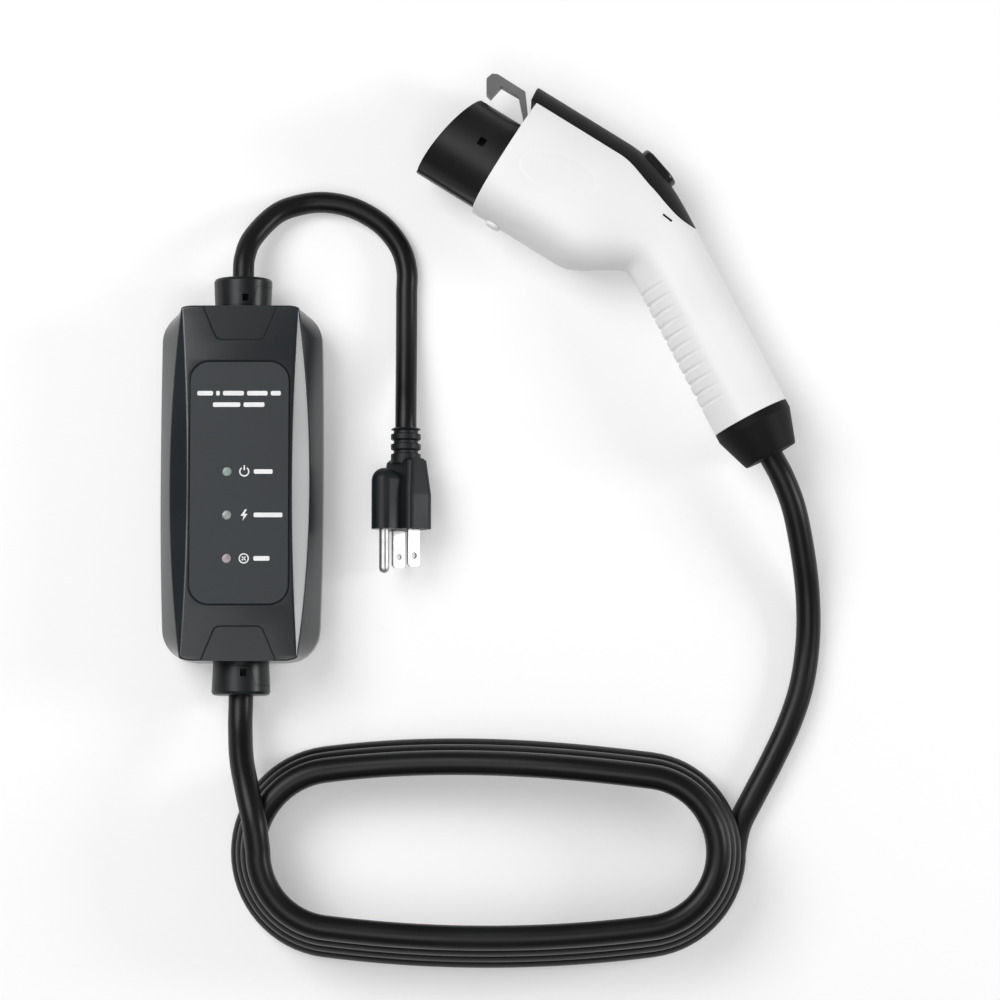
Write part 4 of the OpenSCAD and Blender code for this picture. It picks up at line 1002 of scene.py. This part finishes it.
def lamp_marks():
    """Power sign, bolt and crossed ring, each with a bar beside it."""
    power_y, charge_y, fault_y = LAMP_Y
    parts = [band(power_y, POWER_INNER_R, *POWER_ARC)]
    half = POWER_BAR_W / 2
    parts.append(bar(SIGN_X - half, SIGN_X + half, power_y + POWER_INNER_R, POWER_BAR_H))
    parts.append(prism(BOLT + np.array([SIGN_X, charge_y]), *PRINT_LEVELS))
    parts += [band(fault_y, RING_INNER_R, start, start + 180) for start in (0, 180)]
    for turn in (45, -45):
        stroke = turned(rectangle(*CROSS_SIZE), turn) + np.array([SIGN_X, fault_y])
        parts.append(prism(stroke, *PRINT_LEVELS))
    parts += [bar(LAMP_BAR_X, LAMP_BAR_X + width, y, BAR_H) for y, width in zip(LAMP_Y, LAMP_BARS)]
    return parts


for marks_name, marks in (("heading_marks", heading_marks()), ("lamp_marks", lamp_marks())):
    mark_points, mark_faces = merge(marks)
    add_mesh(marks_name, mark_points + BOX, mark_faces, "panel_film", material=PRINT)


# Edges and shading of the pieces that come straight from the part

NODE_SHARP = 30
NODE_EDGES = {
    "latch_lever": 0.45, "indicator_panel": 0.2, "nose_barrel": 0.3, "handle_end_cap": 0.4,
    "plug_body": 0.35, "line_blade": 0.15, "neutral_blade": 0.15, "upper_gland_base": 0.35,
    "upper_gland_collar": 0.35, "lower_gland_base": 0.35, "lower_gland_collar": 0.35,
}
for node_object in nodes.values():
    soften(node_object.data, NODE_SHARP)
for node_name, edge in NODE_EDGES.items():
    ease_edges(nodes[node_name], edge)


# Floor, light and world

FLOOR_HALF = 6.0
FLOOR_DROP = 0.0002
FLOOR_GREY = 0.75
FLOOR_GLOW = 0.26
WORLD_LEVEL = 0.2
MIDDLE = (0.03, -0.05, 0)


def floor_material():
    """Matte pale floor, lifted a little where camera, mirror or glass look at it."""
    material = bpy.data.materials.new("floor")
    tree, output = cleared_tree(material, "ShaderNodeOutputMaterial")
    matte = tree.nodes.new("ShaderNodeBsdfDiffuse")
    matte.inputs["Color"].default_value = (*grey(FLOOR_GREY), 1)
    glow = tree.nodes.new("ShaderNodeEmission")
    both = tree.nodes.new("ShaderNodeAddShader")
    path = tree.nodes.new("ShaderNodeLightPath")
    looking = path.outputs["Is Camera Ray"]
    for ray in ("Is Glossy Ray", "Is Transmission Ray"):
        either = tree.nodes.new("ShaderNodeMath")
        either.operation = "MAXIMUM"
        tree.links.new(looking, either.inputs[0])
        tree.links.new(path.outputs[ray], either.inputs[1])
        looking = either.outputs[0]
    level = tree.nodes.new("ShaderNodeMath")
    level.operation = "MULTIPLY"
    level.inputs[1].default_value = FLOOR_GLOW
    tree.links.new(looking, level.inputs[0])
    tree.links.new(level.outputs[0], glow.inputs["Strength"])
    tree.links.new(matte.outputs[0], both.inputs[0])
    tree.links.new(glow.outputs[0], both.inputs[1])
    tree.links.new(both.outputs[0], output.inputs["Surface"])
    return material


def add_floor():
    mesh = bpy.data.meshes.new("floor")
    corners = rectangle(2 * FLOOR_HALF, 2 * FLOOR_HALF)
    mesh.from_pydata([(x, y, 0) for x, y in corners.tolist()], [], [(0, 1, 2, 3)])
    mesh.materials.append(floor_material())
    floor = add_object("floor", mesh)
    floor.location.z = -FLOOR_DROP


def set_world():
    world = bpy.data.worlds.new("world")
    scene.world = world
    tree, output = cleared_tree(world, "ShaderNodeOutputWorld")
    sky = tree.nodes.new("ShaderNodeBackground")
    sky.inputs["Color"].default_value = (1, 1, 1, 1)
    sky.inputs["Strength"].default_value = WORLD_LEVEL
    tree.links.new(sky.outputs[0], output.inputs["Surface"])


def add_light(name, place, aim, size, power):
    data = bpy.data.lights.new(name, "AREA")
    data.shape = "RECTANGLE"
    data.size, data.size_y = size
    data.energy = power
    light = add_object(name, data)
    light.location = place
    light.rotation_mode = "QUATERNION"
    light.rotation_quaternion = (Vector(aim) - Vector(place)).to_track_quat("-Z", "Y")


add_floor()
set_world()
add_light("top", place=(-0.75, 0.45, 1.3), aim=MIDDLE, size=(0.9, 0.9), power=15)
add_light("key", place=(1.12, 0.03, 0.56), aim=(-0.05, -0.05, 0.03), size=(0.3, 0.4), power=5.5)
add_light("fill", place=(-0.15, -0.52, 1.35), aim=MIDDLE, size=(0.8, 0.8), power=5)
